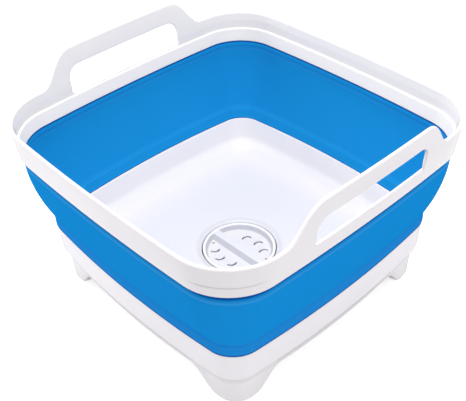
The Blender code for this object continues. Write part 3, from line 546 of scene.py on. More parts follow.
def wallRows():
    # Down the outer face and up the inner one, as (inset, height, corner radius).
    top = levels["rimBottom"] - levels["clearance"]
    foot = levels["trayTop"] + levels["clearance"]
    panelTop = levels["rimBottom"] - wall["topBand"]
    panelFoot = levels["trayTop"] + wall["beadHeight"]
    hinge = levels["rimBottom"] - wall["topBand"] / 2
    hingeInset = wall["topInset"] + wall["hingeDepth"]
    tongueOuter = rim["flare"] + rim["lipOuter"] + levels["clearance"]
    tongueInner = tongueOuter + wall["rimTongue"]
    lowOuter = tray["inset"] + tray["lip"] + levels["clearance"]
    lowInner = lowOuter + wall["trayTongue"]
    beadInner = wall["footInset"] + wall["beadWidth"]
    footInner = rim["flare"] + rim["lipOuter"] + rim["grooveWidth"] + rim["lipInner"]
    height = np.linspace(panelTop, panelFoot, wall["panelRows"])
    fallen = 1.0 - (height - panelFoot) / (panelTop - panelFoot)
    panel = wall["topInset"] + (wall["footInset"] - wall["topInset"]) * fallen ** wall["curvePower"]
    tight, soft = wall["tightCorner"], wall["softCorner"]
    tongueTop = top + wall["rimTongueDepth"]
    tongueFoot = foot - wall["trayTongueDepth"]
    beadTop, beadFoot = panelFoot - wall["beadRound"], foot + wall["beadRound"]
    rows = [
        (tongueOuter, tongueTop, tight), (tongueOuter, top, tight),
        (hingeInset, hinge + wall["hingeHeight"] / 2, soft),
        (hingeInset, hinge - wall["hingeHeight"] / 2, soft)]
    rows += [(inset, z, soft) for inset, z in zip(panel[:-1], height[:-1])]
    rows += [
        (wall["footInset"] + wall["notch"], panelFoot, tight * 2), (wall["footInset"], beadTop, soft),
        (wall["footInset"], beadFoot, soft), (tray["inset"], foot, tight), (lowOuter, foot, tight),
        (lowOuter, tongueFoot, tight), (lowInner, tongueFoot, tight), (lowInner, foot, tight),
        (tray["innerInset"] - wall["trayGap"], foot, tight), (beadInner, beadFoot, soft),
        (beadInner, beadTop, soft)]
    rows += [(inset + wall["thickness"], z, soft) for inset, z in zip(panel[-2::-1], height[-2::-1])]
    rows += [
        (hingeInset + wall["thickness"] - wall["hingeDepth"] / 2, hinge, soft),
        (footInner - rim["lipInner"] / wall["lipParts"], top, tight), (tongueInner, top, tight),
        (tongueInner, tongueTop, tight)]
    return rows


def buildWall(finish):
    # The section is swept round the plan. The rest place of each point is kept for the finish.
    sides = evenShares(plan["sideShare"], plan["sideColumns"])
    section = roundOff(wallRows(), arcSteps=wall["arcSteps"])
    section = fineSteps(section, wall["longestStep"], closed=True)
    grid = sweptRound(section, planColumns(sides, sides))
    piece = makePiece("wall_moulding", [(grid, gridFaces(*grid.shape[:2], True, True))], finish)
    rest = piece.data.attributes.new("restPlace", "FLOAT_VECTOR", "POINT")
    rest.data.foreach_set("vector", placesOf(piece.data))
    markSides(piece.data, wall["sideSharpness"], upShare=0.0)
    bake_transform(piece)
    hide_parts("folding_wall")


# The footed tray and the drain well in its floor.
tray = {
    "inset": 19.4 * mm, "taper": 1.3 * mm, "outerRound": 8.0 * mm, "innerRound": 14.0 * mm,
    "lip": 0.9 * mm, "lipRound": 0.4 * mm, "grooveWidth": 1.6 * mm, "grooveDepth": 3.7 * mm,
    "grooveRound": 0.2 * mm, "innerInset": 22.8 * mm, "skirtInset": 24.5 * mm, "skirtWall": 3.0 * mm,
    "skirtLip": 4.0 * mm, "skirtRound": 1.0 * mm, "footTaper": 1.1 * mm, "footStart": 67.0 * mm,
    "footFull": 99.0 * mm, "footRound": 5.0 * mm, "footWall": 8.0 * mm, "webOverlap": 1.2 * mm,
    "soleThickness": 3.0 * mm, "soleStart": 94.0 * mm, "soleLift": 0.2 * mm, "soleColumns": 49,
    "ribThickness": 2.2 * mm, "ribReach": 34.0 * mm, "ribStart": 1.2 * mm, "ribBend": 2.0 * mm,
    "ribToe": 4.0 * mm, "ribStep": 2.0 * mm, "lipSteps": 6, "outerSteps": 8, "innerSteps": 16,
    "wallStep": 4.0 * mm, "floorRows": 10, "underRows": 8, "sideShare": 0.97, "sideColumns": 53,
    "sideSharpness": 2.0,
}
well = {
    "radius": 35.2 * mm, "floor": 19.0 * mm, "wall": 2.8 * mm, "floorThickness": 2.6 * mm,
    "edgeRound": 0.8 * mm, "dishRadius": 41.5 * mm, "dishDrop": 2.6 * mm, "outletHole": 26.7 * mm,
    "innerRound": 0.3 * mm, "rootReach": 3.0 * mm, "dishSteps": 8, "longestStep": 3.0 * mm,
}


def skirtRows(columns):
    # From under the floor down the skirt's inner face, round its lower edge and up its outer face.
    # Each row is a mix of the lip along the sides and the foot at the corners, by the foot's share.
    inset = tray["skirtInset"] + tray["footTaper"]
    roundIn, roundUp = quarterBend(tray["lipSteps"])
    lipInset = inset + np.concatenate([[tray["skirtWall"]], tray["skirtRound"] * roundIn])
    lipHeight = np.concatenate([[0.0], tray["skirtRound"] * roundUp])
    footInset = inset + np.concatenate([[tray["footWall"]], tray["footRound"] * roundIn])
    footHeight = np.concatenate([[0.0], tray["footRound"] * roundUp])
    lipX, lipY = planLine(lipInset, columns)
    footX, footY = planLine(footInset, columns)
    edgeX, edgeY = planLine(inset, columns)
    along = np.minimum(np.abs(edgeX), np.abs(edgeY))
    share = smoothStep((along - tray["footStart"]) / (tray["footFull"] - tray["footStart"]))
    lipLevel = levels["floorUnder"] - tray["skirtLip"]
    lower = lipLevel * (1.0 - share)
    height = lower + lipHeight[:, None] + (footHeight - lipHeight)[:, None] * share
    grid = np.stack([lipX + (footX - lipX) * share, lipY + (footY - lipY) * share, height], axis=2)
    topX, topY = planLine(inset + tray["skirtWall"], columns)
    top = np.stack([topX, topY, np.full(topX.shape, levels["floorUnder"])], axis=2)
    return np.concatenate([evenRows(top[0], grid[0], tray["underRows"])[:-1], grid], axis=0)


def evenRows(first, last, count):
    # Rows at equal steps from one line of points to another.
    t = np.linspace(0.0, 1.0, count + 1)[:, None, None]
    return first + (last - first) * t


def trayRows(columns):
    # The side above the skirt, over the grooved edge, down the inside and round its bend.
    footSide = tray["inset"] + tray["taper"]
    cosine = 1.0 - (tray["skirtInset"] - footSide) / tray["outerRound"]
    outer = np.linspace(math.acos(cosine), 0.0, tray["outerSteps"] + 1)
    centre = levels["floorUnder"] + tray["skirtLip"] + tray["outerRound"]
    bendOut = np.stack([
        footSide + tray["outerRound"] * (1.0 - np.cos(outer)),
        centre - tray["outerRound"] * np.sin(outer)], axis=1)
    top = levels["trayTop"]
    grooveOuter = tray["inset"] + tray["lip"]
    grooveInner, grooveFoot = grooveOuter + tray["grooveWidth"], top - tray["grooveDepth"]
    innerFoot = tray["innerInset"] + tray["taper"] / 2
    edge = roundOff([
        (*bendOut[-1], 0), (tray["inset"], top, tray["lipRound"]),
        (grooveOuter, top, tray["grooveRound"]), (grooveOuter, grooveFoot, tray["grooveRound"]),
        (grooveInner, grooveFoot, tray["grooveRound"]), (grooveInner, top, tray["grooveRound"]),
        (tray["innerInset"], top, tray["lipRound"]),
        (innerFoot, levels["floorTop"] + tray["innerRound"], 0)], closed=False)
    roundDown, roundIn = quarterBend(tray["innerSteps"])
    bendIn = np.stack([
        innerFoot + tray["innerRound"] * roundIn[1:],
        levels["floorTop"] + tray["innerRound"] * roundDown[1:]], axis=1)
    return sweptRound(fineSteps(np.concatenate([bendOut[:-1], edge, bendIn]), tray["wallStep"]), columns)


def wellRows(angle):
    # From the dish's edge in the floor, down the dish (a quarter of an ellipse) and the well, through
    # its outlet and back out below.
    outer = well["radius"] + well["wall"]
    t = np.radians(np.linspace(90.0, 180.0, well["dishSteps"] + 1))
    dish = np.stack([
        well["dishRadius"] + (well["dishRadius"] - well["radius"]) * np.cos(t),
        levels["floorTop"] - well["dishDrop"] + well["dishDrop"] * np.sin(t)], axis=1)
    under = well["floor"] - well["floorThickness"]
    rest = roundOff([
        (*dish[-1], 0), (well["radius"], well["floor"], well["innerRound"]),
        (well["outletHole"], well["floor"], well["innerRound"]),
        (well["outletHole"], under, well["innerRound"]),
        (outer, under, well["edgeRound"]), (outer, levels["floorUnder"], well["edgeRound"]),
        (outer + well["rootReach"], levels["floorUnder"], 0)], closed=False)
    return turnedRound(fineSteps(np.concatenate([dish[:-1], rest]), well["longestStep"]), angle)


def footWebs(quarter):
    # The flat sole in a foot's corner and the upright rib on its diagonal, each a slab that runs a
    # little way into the foot's wall.
    inset = tray["skirtInset"] + tray["footTaper"] + tray["footWall"] - tray["webOverlap"]
    sides = evenShares(plan["sideShare"], tray["soleColumns"])
    columns = planColumns(sides, sides)
    x, y = (line[0] for line in planLine(inset, columns))
    corner = np.minimum(x, y) > tray["soleStart"]
    outline = np.stack([x[corner], y[corner]], axis=1)
    hub = np.full((1, 2), tray["soleStart"])
    line = outline[np.argsort(np.arctan2(outline[:, 1] - hub[0, 1], outline[:, 0] - hub[0, 0]))]
    rows = [np.broadcast_to(hub, line.shape), line, line, np.broadcast_to(hub, line.shape)]
    heights = (tray["soleLift"], tray["soleLift"], tray["soleThickness"], tray["soleThickness"])
    sole = np.stack([np.column_stack([row, np.full(len(row), z)]) for row, z in zip(rows, heights)])
    ribLine = planLine(inset - tray["footWall"] + tray["skirtWall"], columns)
    reach = np.hypot(*(line[0] for line in ribLine)).max()
    start = math.hypot(tray["soleStart"], tray["soleStart"]) + tray["ribStart"]
    top = (levels["floorUnder"] + levels["floorTop"]) / 2
    lip = levels["floorUnder"] - tray["skirtLip"]
    soleMiddle = tray["soleThickness"] / 2
    section = fineSteps(roundOff([
        (reach - tray["footRound"], soleMiddle, 0), (reach, tray["footRound"], 0), (reach, top, 0),
        (reach - tray["ribReach"], top, 0), (reach - tray["ribReach"], lip, tray["ribBend"]),
        (start, soleMiddle, tray["ribToe"])]), tray["ribStep"], closed=True)
    middle = np.broadcast_to(section.mean(axis=0), section.shape)
    side = np.array([-1.0, -1.0, 1.0, 1.0])[:, None] * tray["ribThickness"] / 2
    rings = np.stack([middle, section, section, middle])
    along, z = rings[:, :, 0], rings[:, :, 1]
    rib = np.stack([(along - side) * math.sqrt(0.5), (along + side) * math.sqrt(0.5), z], axis=2)
    turn = np.array(Matrix.Rotation(quarter * math.pi / 2, 3, "Z"))
    return [
        (sole @ turn.T, gridFaces(*sole.shape[:2], False, False)),
        (rib @ turn.T, gridFaces(*rib.shape[:2], False, True))]


def buildTray(finish):
    # One closed grid: skirt, side, floor, drain well and underside, with the foot webs added.
    sides = evenShares(tray["sideShare"], tray["sideColumns"])
    columns = planColumns(sides, sides)
    skirt, side = skirtRows(columns), trayRows(columns)
    angle = np.arctan2(side[-1, :, 1], side[-1, :, 0])
    drain = wellRows(angle)
    floor = evenRows(side[-1], drain[0], tray["floorRows"])[1:-1]
    under = evenRows(drain[-1], skirt[0], tray["underRows"])[1:-1]
    grid = np.concatenate([skirt, side, floor, drain, under])
    parts = [(grid, gridFaces(*grid.shape[:2], True, True))]
    for quarter in range(4):
        parts += footWebs(quarter)
    piece = makePiece("tray_moulding", parts, finish)
    markSides(piece.data, tray["sideSharpness"], upShare=1.0)
    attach(piece, "base")
    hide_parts("base_tray")


# The strainer plug: a cup with sloping sides, a grip bar and curved slits.
plug = {
    "radius": 34.3 * mm, "ring": 2.2 * mm, "top": 30.0 * mm, "floor": 24.5 * mm, "bottom": 22.7 * mm,
    "cupFoot": 30.0 * mm, "cupRound": 1.6 * mm, "edgeRound": 0.7 * mm, "baseRound": 1.8 * mm,
    "bossRadius": 6.0 * mm, "bossBottom": 21.2 * mm, "bossFoot": 0.3 * mm, "bossEdge": 0.4 * mm,
    "boreRadius": 2.8 * mm, "boreTop": 23.8 * mm, "boreEdge": 0.2 * mm,
    "turn": -7.0, "steps": 144, "arcSteps": 6, "longestStep": 3.0 * mm, "sharpAngle": 35.0,
}
bar = {
    "turn": 1.0, "width": 6.8 * mm, "slope": 3.4 * mm, "draft": 0.4 * mm, "drop": 0.1 * mm,
    "edgeRound": 0.8 * mm, "footRound": 0.2 * mm, "sink": 0.7 * mm, "letIn": 0.8 * mm,
    "cells": 24, "arcSteps": 6, "longestStep": 0.6 * mm,
}
slit = {
    "width": 1.8 * mm, "bend": 4.8 * mm, "start": 102.0, "end": 216.0, "steps": 20,
    "centres": ((-7.4 * mm, 15.0 * mm), (5.6 * mm, 19.2 * mm), (17.2 * mm, 16.4 * mm)),
    "hole": 1.2 * mm, "holePlace": (24.2 * mm, 12.8 * mm), "holeSteps": 24, "overshoot": 1.0 * mm,
}


def arcPoints(centre, radius, start, end, steps):
    # Points on an arc from the start angle to the end angle.
    angle = np.radians(np.linspace(start, end, steps))
    return np.stack([centre[0] + radius * np.cos(angle), centre[1] + radius * np.sin(angle)], axis=1)


def turnedAbout(points, degrees):
    # Turned round the Z axis.
    return points @ np.array(Matrix.Rotation(math.radians(degrees), 3, "Z")).T


def slitCutter():
    # Upright prisms with the plans of the slits and drain holes, three slits and a hole each side.
    half, bend, start, end = slit["width"] / 2, slit["bend"], slit["start"], slit["end"]
    tip = math.degrees(half / bend)
    outlines = [np.concatenate([
        arcPoints(centre, bend + half, start, end, slit["steps"]),
        arcPoints(centre, bend, end + tip, end + tip, 1),
        arcPoints(centre, bend - half, end, start, slit["steps"]),
        arcPoints(centre, bend, start - tip, start - tip, 1)]) for centre in slit["centres"]]
    lastAngle = 360.0 - 360.0 / slit["holeSteps"]
    outlines.append(arcPoints(slit["holePlace"], slit["hole"], 0.0, lastAngle, slit["holeSteps"]))
    points, faces = [], []
    for turn in (plug["turn"], plug["turn"] + 180.0):
        for outline in outlines:
            first, count = sum(len(ring) for ring in points), len(outline)
            for z in (plug["bottom"] - slit["overshoot"], plug["floor"] + slit["overshoot"]):
                points.append(turnedAbout(np.column_stack([outline, np.full(count, z)]), turn))
            low = list(range(first, first + count))
            high = list(range(first + count, first + 2 * count))
            faces += [list(cell) for cell in zip(low, low[1:] + low[:1], high[1:] + high[:1], high)]
            faces += [low[::-1], high]
    mesh = bpy.data.meshes.new("slits")
    mesh.from_pydata(np.concatenate(points).tolist(), [], faces)
    weld(mesh)
    return placed("slits", mesh)


def barGrid():
    # The bar's section runs across the cup and ends a little way into its sloping wall. The first
    # and last rows close in on their middle.
    half, top, foot = bar["width"] / 2, plug["top"] - bar["drop"], plug["floor"] - bar["sink"]
    section = fineSteps(roundOff([
        (-half - bar["slope"], foot, bar["footRound"]), (half + bar["draft"], foot, bar["footRound"]),
        (half, top, bar["edgeRound"]), (-half, top, bar["edgeRound"])], arcSteps=bar["arcSteps"]),
        bar["longestStep"], closed=True)
    y, z = section[:, 0], section[:, 1]
    rise = (z - plug["floor"]) / (plug["top"] - plug["floor"])
    cupRadius = plug["cupFoot"] + (plug["radius"] - plug["ring"] - plug["cupFoot"]) * rise + bar["letIn"]
    reach = np.sqrt(cupRadius ** 2 - y ** 2)
    share = np.concatenate([[-1.0], np.linspace(-1.0, 1.0, bar["cells"] + 1), [1.0]])[:, None]
    x = reach * share
    grid = np.stack([x, np.broadcast_to(y, x.shape), np.broadcast_to(z, x.shape)], axis=2)
    grid[0] = grid[1].mean(axis=0)
    grid[-1] = grid[-2].mean(axis=0)
    return turnedAbout(grid, bar["turn"])


def buildStrainer(finish):
    # The cup's section turned round the axis, the slits cut through it, and the bar laid across.
    inner = plug["radius"] - plug["ring"]
    section = fineSteps(roundOff([
        (0.0, plug["floor"], 0), (plug["cupFoot"], plug["floor"], plug["cupRound"]),
        (inner, plug["top"], plug["edgeRound"]), (plug["radius"], plug["top"], plug["edgeRound"]),
        (plug["radius"], plug["bottom"], plug["baseRound"]),
        (plug["bossRadius"], plug["bottom"], plug["bossFoot"]),
        (plug["bossRadius"], plug["bossBottom"], plug["bossEdge"]),
        (plug["boreRadius"], plug["bossBottom"], plug["boreEdge"]),
        (plug["boreRadius"], plug["boreTop"], plug["boreEdge"]),
        (0.0, plug["boreTop"], 0)], closed=False, arcSteps=plug["arcSteps"]), plug["longestStep"])
    grid = turnedRound(section, np.linspace(0.0, 2.0 * math.pi, plug["steps"], endpoint=False))
    piece = makePiece("strainer_moulding", [(grid, gridFaces(*grid.shape[:2], False, True))], finish)
    cutter = slitCutter()
    cut = piece.modifiers.new("slits", "BOOLEAN")
    cut.operation = "DIFFERENCE"
    cut.solver = "EXACT"
    cut.object = cutter
    bpy.context.view_layer.update()
    mesh = bpy.data.meshes.new_from_object(piece.evaluated_get(bpy.context.evaluated_depsgraph_get()))
    piece.modifiers.clear()
    bpy.data.objects.remove(cutter)
    shell = bmesh.new()
    shell.from_mesh(mesh)
    barPoints = barGrid()
    first = [shell.verts.new(point) for point in barPoints.reshape(-1, 3).tolist()]
    for cell in gridFaces(*barPoints.shape[:2], False, True).tolist():
        shell.faces.new([first[index] for index in cell])
    shell.to_mesh(mesh)
    shell.free()
    coat(mesh, finish, plug["sharpAngle"])
    piece.data = mesh
    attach(piece, "strainer")
    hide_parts("strainer_plug")


# Finishes. Each pair given to a ramp is where its soft step begins and ends.
whites = {
    "rim": (0.697, 0.669, 0.697, 1.0), "rimShade": (0.675, 0.647, 0.675, 1.0),
    # The rim's inner faces take a lighter copy, painted light; under is painted shade for faces that look
    # down.
    "rimInsideLit": (0.800, 0.763, 0.744, 1.0), "under": (0.400, 0.395, 0.410, 1.0),
    "tray": (0.764, 0.736, 0.761, 1.0), "trayShade": (0.741, 0.712, 0.738, 1.0),
    # The tray's inner faces take a lighter copy, painted light; foot is painted light that makes the
    # shaded feet paler.
    "trayInsideLit": (0.970, 0.922, 0.902, 1.0), "foot": (0.905, 0.877, 0.898, 1.0),
    "plug": (0.970, 0.922, 0.898, 1.0), "plugShade": (0.945, 0.898, 0.875, 1.0),
    "fitting": (0.860, 0.855, 0.860, 1.0), "fittingShade": (0.800, 0.795, 0.800, 1.0),
    # Painted shade: grey along silhouettes, and grey for the hollows of dish, flat floor and cup.
    "turnedAway": (0.320, 0.310, 0.330, 1.0), "paintedShade": (0.600, 0.580, 0.590, 1.0),
}
plastic = {
    "specular": 0.4, "detail": 2.0, "cloudScale": 14.0, "cloudRamp": (0.35, 0.75), "cloudShade": 0.7,
    # The away ramp and share give the painted shade at silhouettes.
    "grainShade": 0.15, "awayShadeRamp": (0.74, 1.0), "awayShadeShare": 0.85, "glossDrop": 0.05,
    "grainGloss": 0.06, "cloudGloss": 0.05, "cloudRelief": 0.3, "relief": 0.4 * mm,
}
# Painted shade in the dish round the plug and on the flat floor.
dishShadeTone = {
    "ring": 38.4 * mm, "reach": 3.4 * mm, "share": 0.25, "ringRamp": (27.0 * mm, 28.5 * mm),
    "floorRamp": (32.0 * mm, 42.0 * mm), "floorShare": 0.50,
}
# Painted light that makes the feet paler.
footLightTone = {"radiusRamp": (140.0 * mm, 152.0 * mm), "heightRamp": (25.0 * mm, 30.0 * mm)}
# Painted shade on the cup's sloping wall, the bar's side and within the ring.
cupShadeTone = {
    "sideRise": (0.1 * mm, 0.7 * mm), "sideShare": 0.28, "cornerRamp": (26.0 * mm, 30.0 * mm),
    "cornerShare": 0.05, "topDrop": (0.9 * mm, 0.2 * mm), "ringBlend": 0.7 * mm, "innerShare": 0.51,
}
blues = {
    # Two copies of one blue for outer and inner faces, each tuned to the light there: painted light.
    "outside": (0.006, 0.234, 0.610, 1.0), "inside": (0.008, 0.243, 0.577, 1.0),
    # The bead's band, painted light: a touch darker outside and paler inside.
    "bead": (0.013, 0.220, 0.605, 1.0), "beadInsideLit": (0.012, 0.306, 0.695, 1.0),
    # A painted highlight colour, also used for random paler cloud, and painted shadow where the wall
    # meets rim and tray.
    "hazeAndHighlight": (0.047, 0.307, 0.700, 1.0), "contactShadow": (0.002, 0.070, 0.330, 1.0),
}
elastomer = {
    # Reaches and shares of the painted highlight, the bead's painted light and the painted shadow lines.
    "cloudScale": 18.0, "cloudDetail": 3.0, "grain": 1400.0, "grainDetail": 2.0, "beadBlend": 1.5 * mm,
    "hingeReach": 2.4 * mm, "hingeHighlight": 0.55, "ridgeRise": 1.0 * mm, "ridgeReach": 1.8 * mm,
    "ridgeHighlight": 0.35, "insideHighlightFade": 0.6, "cloudHaze": 0.08, "insideShadowDrop": 4.1 * mm,
    "upperShadowLine": (6.3 * mm, 4.7 * mm), "insideShadowRise": 1.2 * mm, "lowerShadowLine": (1.4 * mm, 3.0 * mm),
    "roughness": 0.46, "grainGloss": 0.08, "cloudGloss": 0.05, "depth": 0.02, "relief": 0.3 * mm,
}
rubbers = {
    "gasket": (0.035, 0.036, 0.040, 1.0), "gasketFleck": (0.070, 0.070, 0.075, 1.0),
    "seal": (0.62, 0.60, 0.57, 1.0), "sealFleck": (0.52, 0.50, 0.48, 1.0), "specular": 0.3,
    "dustScale": 320.0, "dustDetail": 4.0, "dustRoughness": 0.65, "dustRamp": (0.5, 0.68),
    "dustShade": 0.6, "grain": 2600.0, "grainDetail": 2.0, "grainShade": 0.2, "dustGloss": 0.12,
    "dustRelief": 0.5, "depth": 0.08, "relief": 0.2 * mm,
}
steel = {
    "bright": (0.72, 0.72, 0.73, 1.0), "dull": (0.50, 0.50, 0.52, 1.0), "roughness": 0.26,
    "detail": 3.0, "ringsAcross": 4200.0, "ringsDown": 300.0, "ringShade": 0.6, "patchScale": 260.0,
    "patchRamp": (0.45, 0.7), "patchShade": 0.3, "ringGloss": 0.1, "patchGloss": 0.08, "depth": 0.06,
    "relief": 0.1 * mm,
}


def mouldedWhite(name, main, shade, roughness=0.38, grain=900.0, depth=0.02,
                 inside=None, under=None, paintedShade=None, foot=None):
    # Moulded polypropylene: faint cloudy shade, a fine satin grain and a softly uneven gloss. Painted
    # shade makes it greyer where it turns away at a silhouette, in hollows that the given function picks
    # out and on faces that look down; painted light gives inner faces a lighter copy and makes paler the
    # feet that another function picks out.
    finish = Finish(bpy.data.materials.new(name), Specular_IOR_Level=plastic["specular"])
    place = finish.objectPlace()
    cloud = finish.noise(place, plastic["cloudScale"], plastic["detail"])
    fine = finish.noise(place, grain, plastic["detail"])
    shaded = cloud.ramp(*plastic["cloudRamp"]) * plastic["cloudShade"] + fine * plastic["grainShade"]
    colour = finish.mixed(shaded, main, shade)
    # Painted light: paler feet.
    if foot:
        colour = finish.mixed(foot(finish, place), colour, whites["foot"])
    # Painted light: a lighter copy of the colour on inner faces.
    if inside:
        colour = finish.mixed(finish.attribute("insideLitShare"), colour, inside)
    # Painted shade under faces that look down.
    if under:
        colour = finish.mixed(finish.attribute("underShadeShare"), colour, under)
    # Painted shade in hollows.
    if paintedShade:
        colour = finish.mixed(paintedShade(finish, place), colour, whites["paintedShade"])
    # Painted shade along silhouettes.
    awayShade = finish.turnedAway().ramp(*plastic["awayShadeRamp"]) * plastic["awayShadeShare"]
    finish.drive("Base Color", finish.mixed(awayShade, colour, whites["turnedAway"]))
    gloss = fine * plastic["grainGloss"] + cloud * plastic["cloudGloss"]
    finish.drive("Roughness", roughness - plastic["glossDrop"] + gloss)
    finish.bump(fine + cloud * plastic["cloudRelief"], depth, plastic["relief"])
    return finish.owner


def dishShade(finish, place):
    # Painted shade in the shallow dish round the plug and the narrow gap beside it, and on the flat
    # floor, painted a little deeper in tone than the bend round it.
    radius, height = finish.radiusOf(place), finish.heightOf(place)
    ring = radius.band(dishShadeTone["ring"], dishShadeTone["reach"]) * dishShadeTone["share"]
    flat = 1.0 - height.ramp(*dishShadeTone["floorRamp"])
    return ring * height.ramp(*dishShadeTone["ringRamp"]) + flat * dishShadeTone["floorShare"]


def trayFootLight(finish, place):
    # Painted light that makes the feet paler: low down and far out at the corners.
    low = 1.0 - finish.heightOf(place).ramp(*footLightTone["heightRamp"])
    return finish.radiusOf(place).ramp(*footLightTone["radiusRamp"]) * low


def cupShade(finish, place):
    # Painted shade: the cup's sloping wall and the sloping side of the bar are a little deeper in tone,
    # and all that lies within the ring is a little deeper than the ring, so that the ring looks lit.
    radius, height = finish.radiusOf(place), finish.heightOf(place)
    side = height.ramp(*(plug["floor"] + rise for rise in cupShadeTone["sideRise"]))
    corner = radius.ramp(*cupShadeTone["cornerRamp"])
    below = 1.0 - height.ramp(*(plug["top"] - drop for drop in cupShadeTone["topDrop"]))
    ringInner = plug["radius"] - plug["ring"]
    inner = 1.0 - radius.ramp(ringInner - cupShadeTone["ringBlend"], ringInner)
    sides = side * cupShadeTone["sideShare"] + corner * cupShadeTone["cornerShare"]
    return sides * below + inner * cupShadeTone["innerShare"]


def elastomerBlue():
    # Soft blue rubber, with inner and outer faces in two copies of the blue, each tuned to its light; the
    # inner copy is a touch warmer. A painted highlight makes a faint paler line at the hinge under the
    # rim and at the bead's top, the bead is painted darker outside and paler inside, and painted shadow
    # makes deep lines where it meets rim and tray.
    finish = Finish(bpy.data.materials.new("blue_elastomer"), Specular_IOR_Level=0.0)
    place = finish.attribute("restPlace", "Vector")
    inside = finish.attribute("insideLitShare")
    height = finish.heightOf(place)
    cloud = finish.noise(place, elastomer["cloudScale"], elastomer["cloudDetail"])
    fine = finish.noise(place, elastomer["grain"], elastomer["grainDetail"])
    # Painted light: inner and outer copies of the blue.
    colour = finish.mixed(inside, blues["outside"], blues["inside"])
    # Painted light on the bead: darker outside, paler inside.
    beadTop = levels["trayTop"] + wall["beadHeight"]
    bead = 1.0 - height.ramp(beadTop - elastomer["beadBlend"], beadTop)
    colour = finish.mixed(bead, colour, finish.mixed(inside, blues["bead"], blues["beadInsideLit"]))
    # Painted highlight at the hinge and the bead's top, faded inside, with random paler cloud.
    hinge = height.band(levels["rimBottom"] - wall["topBand"], elastomer["hingeReach"])
    ridge = height.band(beadTop + elastomer["ridgeRise"], elastomer["ridgeReach"])
    hazeAndHighlight = hinge * elastomer["hingeHighlight"] + ridge * elastomer["ridgeHighlight"]
    hazeAndHighlight = hazeAndHighlight * (1.0 - inside * elastomer["insideHighlightFade"]) + cloud * elastomer["cloudHaze"]
    colour = finish.mixed(hazeAndHighlight, colour, blues["hazeAndHighlight"])
    # Painted shadow lines under the rim and over the tray.
    upperShadow = (height - inside * elastomer["insideShadowDrop"]).ramp(
        *(levels["rimBottom"] - drop for drop in elastomer["upperShadowLine"]))
    lower = 1.0 - (height + inside * elastomer["insideShadowRise"]).ramp(
        *(levels["trayTop"] + rise for rise in elastomer["lowerShadowLine"]))
    finish.drive("Base Color", finish.mixed(upperShadow + lower, colour, blues["contactShadow"]))
    gloss = fine * elastomer["grainGloss"] + cloud * elastomer["cloudGloss"]
    finish.drive("Roughness", elastomer["roughness"] + gloss)
    finish.bump(fine, elastomer["depth"], elastomer["relief"])
    return finish.owner


def sealRubber(name, main, fleck, roughness):
    # Matt rubber with fine flecks and a dusty, slightly uneven sheen.
    finish = Finish(bpy.data.materials.new(name), Specular_IOR_Level=rubbers["specular"])
    place = finish.objectPlace()
    dust = finish.noise(place, rubbers["dustScale"], rubbers["dustDetail"], rubbers["dustRoughness"])
    fine = finish.noise(place, rubbers["grain"], rubbers["grainDetail"])
    flecks = dust.ramp(*rubbers["dustRamp"]) * rubbers["dustShade"] + fine * rubbers["grainShade"]
    finish.drive("Base Color", finish.mixed(flecks, main, fleck))
    finish.drive("Roughness", roughness + dust * rubbers["dustGloss"])
    finish.bump(fine + dust * rubbers["dustRelief"], rubbers["depth"], rubbers["relief"])
    return finish.owner


def turnedSteel():
    # A stamped steel washer: fine rings round its axis, worn a little duller in patches.
    finish = Finish(bpy.data.materials.new("washer_steel"), Metallic=1.0)
    place = finish.objectPlace()
    across = finish.radiusOf(place) * steel["ringsAcross"]
    down = finish.heightOf(place) * steel["ringsDown"]
    along = finish.add("ShaderNodeCombineXYZ", sockets={"X": across, "Y": down})
    rings = finish.noise(along, 1.0, steel["detail"])
    patch = finish.noise(place, steel["patchScale"], steel["detail"])
    worn = rings * steel["ringShade"] + patch.ramp(*steel["patchRamp"]) * steel["patchShade"]
    finish.drive("Base Color", finish.mixed(worn, steel["bright"], steel["dull"]))
    gloss = rings * steel["ringGloss"] + patch * steel["patchGloss"]
    finish.drive("Roughness", steel["roughness"] + gloss)
    finish.bump(rings, steel["depth"], steel["relief"])
    return finish.owner


# Camera, lamps and floor. The focal length, centre, width and height are in pixels.
view = {
    "azimuth": 47.71, "elevation": 38.78, "roll": -2.1, "distance": 0.75207, "aimHeight": 87.96 * mm,
    "focal": 840.0, "centre": (237.48, 198.24), "width": 466.0, "height": 401.0, "sensor": 36.0,
}
# Each lamp is its power in watts, its width and its place.
light = {
    "world": 0.742, "floor": 0.8, "floorGlow": 0.65, "floorReach": 4.0, "aim": (0.0, 0.0, 0.1),
    "key": (10.5, 0.7, (0.14, -0.16, 1.28)), "left": (12.0, 1.0, (-1.3, -0.3, 0.7)),
    "right": (2.8, 1.0, (1.3, 0.25, 0.6)), "back": (2.8, 1.0, (-0.3, 1.3, 0.9)),
}


def buildCamera():
    # Looks at a point on the Z axis, rolled a little, and shifted so that its axis meets the picture
    # at centre.
    azimuth, elevation, roll = (math.radians(view[name]) for name in ("azimuth", "elevation", "roll"))
    flat = math.cos(elevation)
    back = Vector((math.sin(azimuth) * flat, -math.cos(azimuth) * flat, math.sin(elevation)))
    right = Vector((math.cos(azimuth), math.sin(azimuth), 0.0))
    up = back.cross(right)
    rolledRight = right * math.cos(roll) + up * math.sin(roll)
    rolledUp = up * math.cos(roll) - right * math.sin(roll)
    camera = bpy.data.cameras.new("camera")
    camera.sensor_width = view["sensor"]
    camera.lens = view["focal"] / view["width"] * view["sensor"]
    camera.shift_x = (view["width"] / 2 - view["centre"][0]) / view["width"]
    camera.shift_y = (view["centre"][1] - view["height"] / 2) / view["width"]
    holder = placed("camera", camera)
    eye = Vector((0.0, 0.0, view["aimHeight"])) + back * view["distance"]
    turn = Matrix((rolledRight, rolledUp, back)).transposed().to_4x4()
    holder.matrix_world = Matrix.Translation(eye) @ turn
    bpy.context.scene.camera = holder


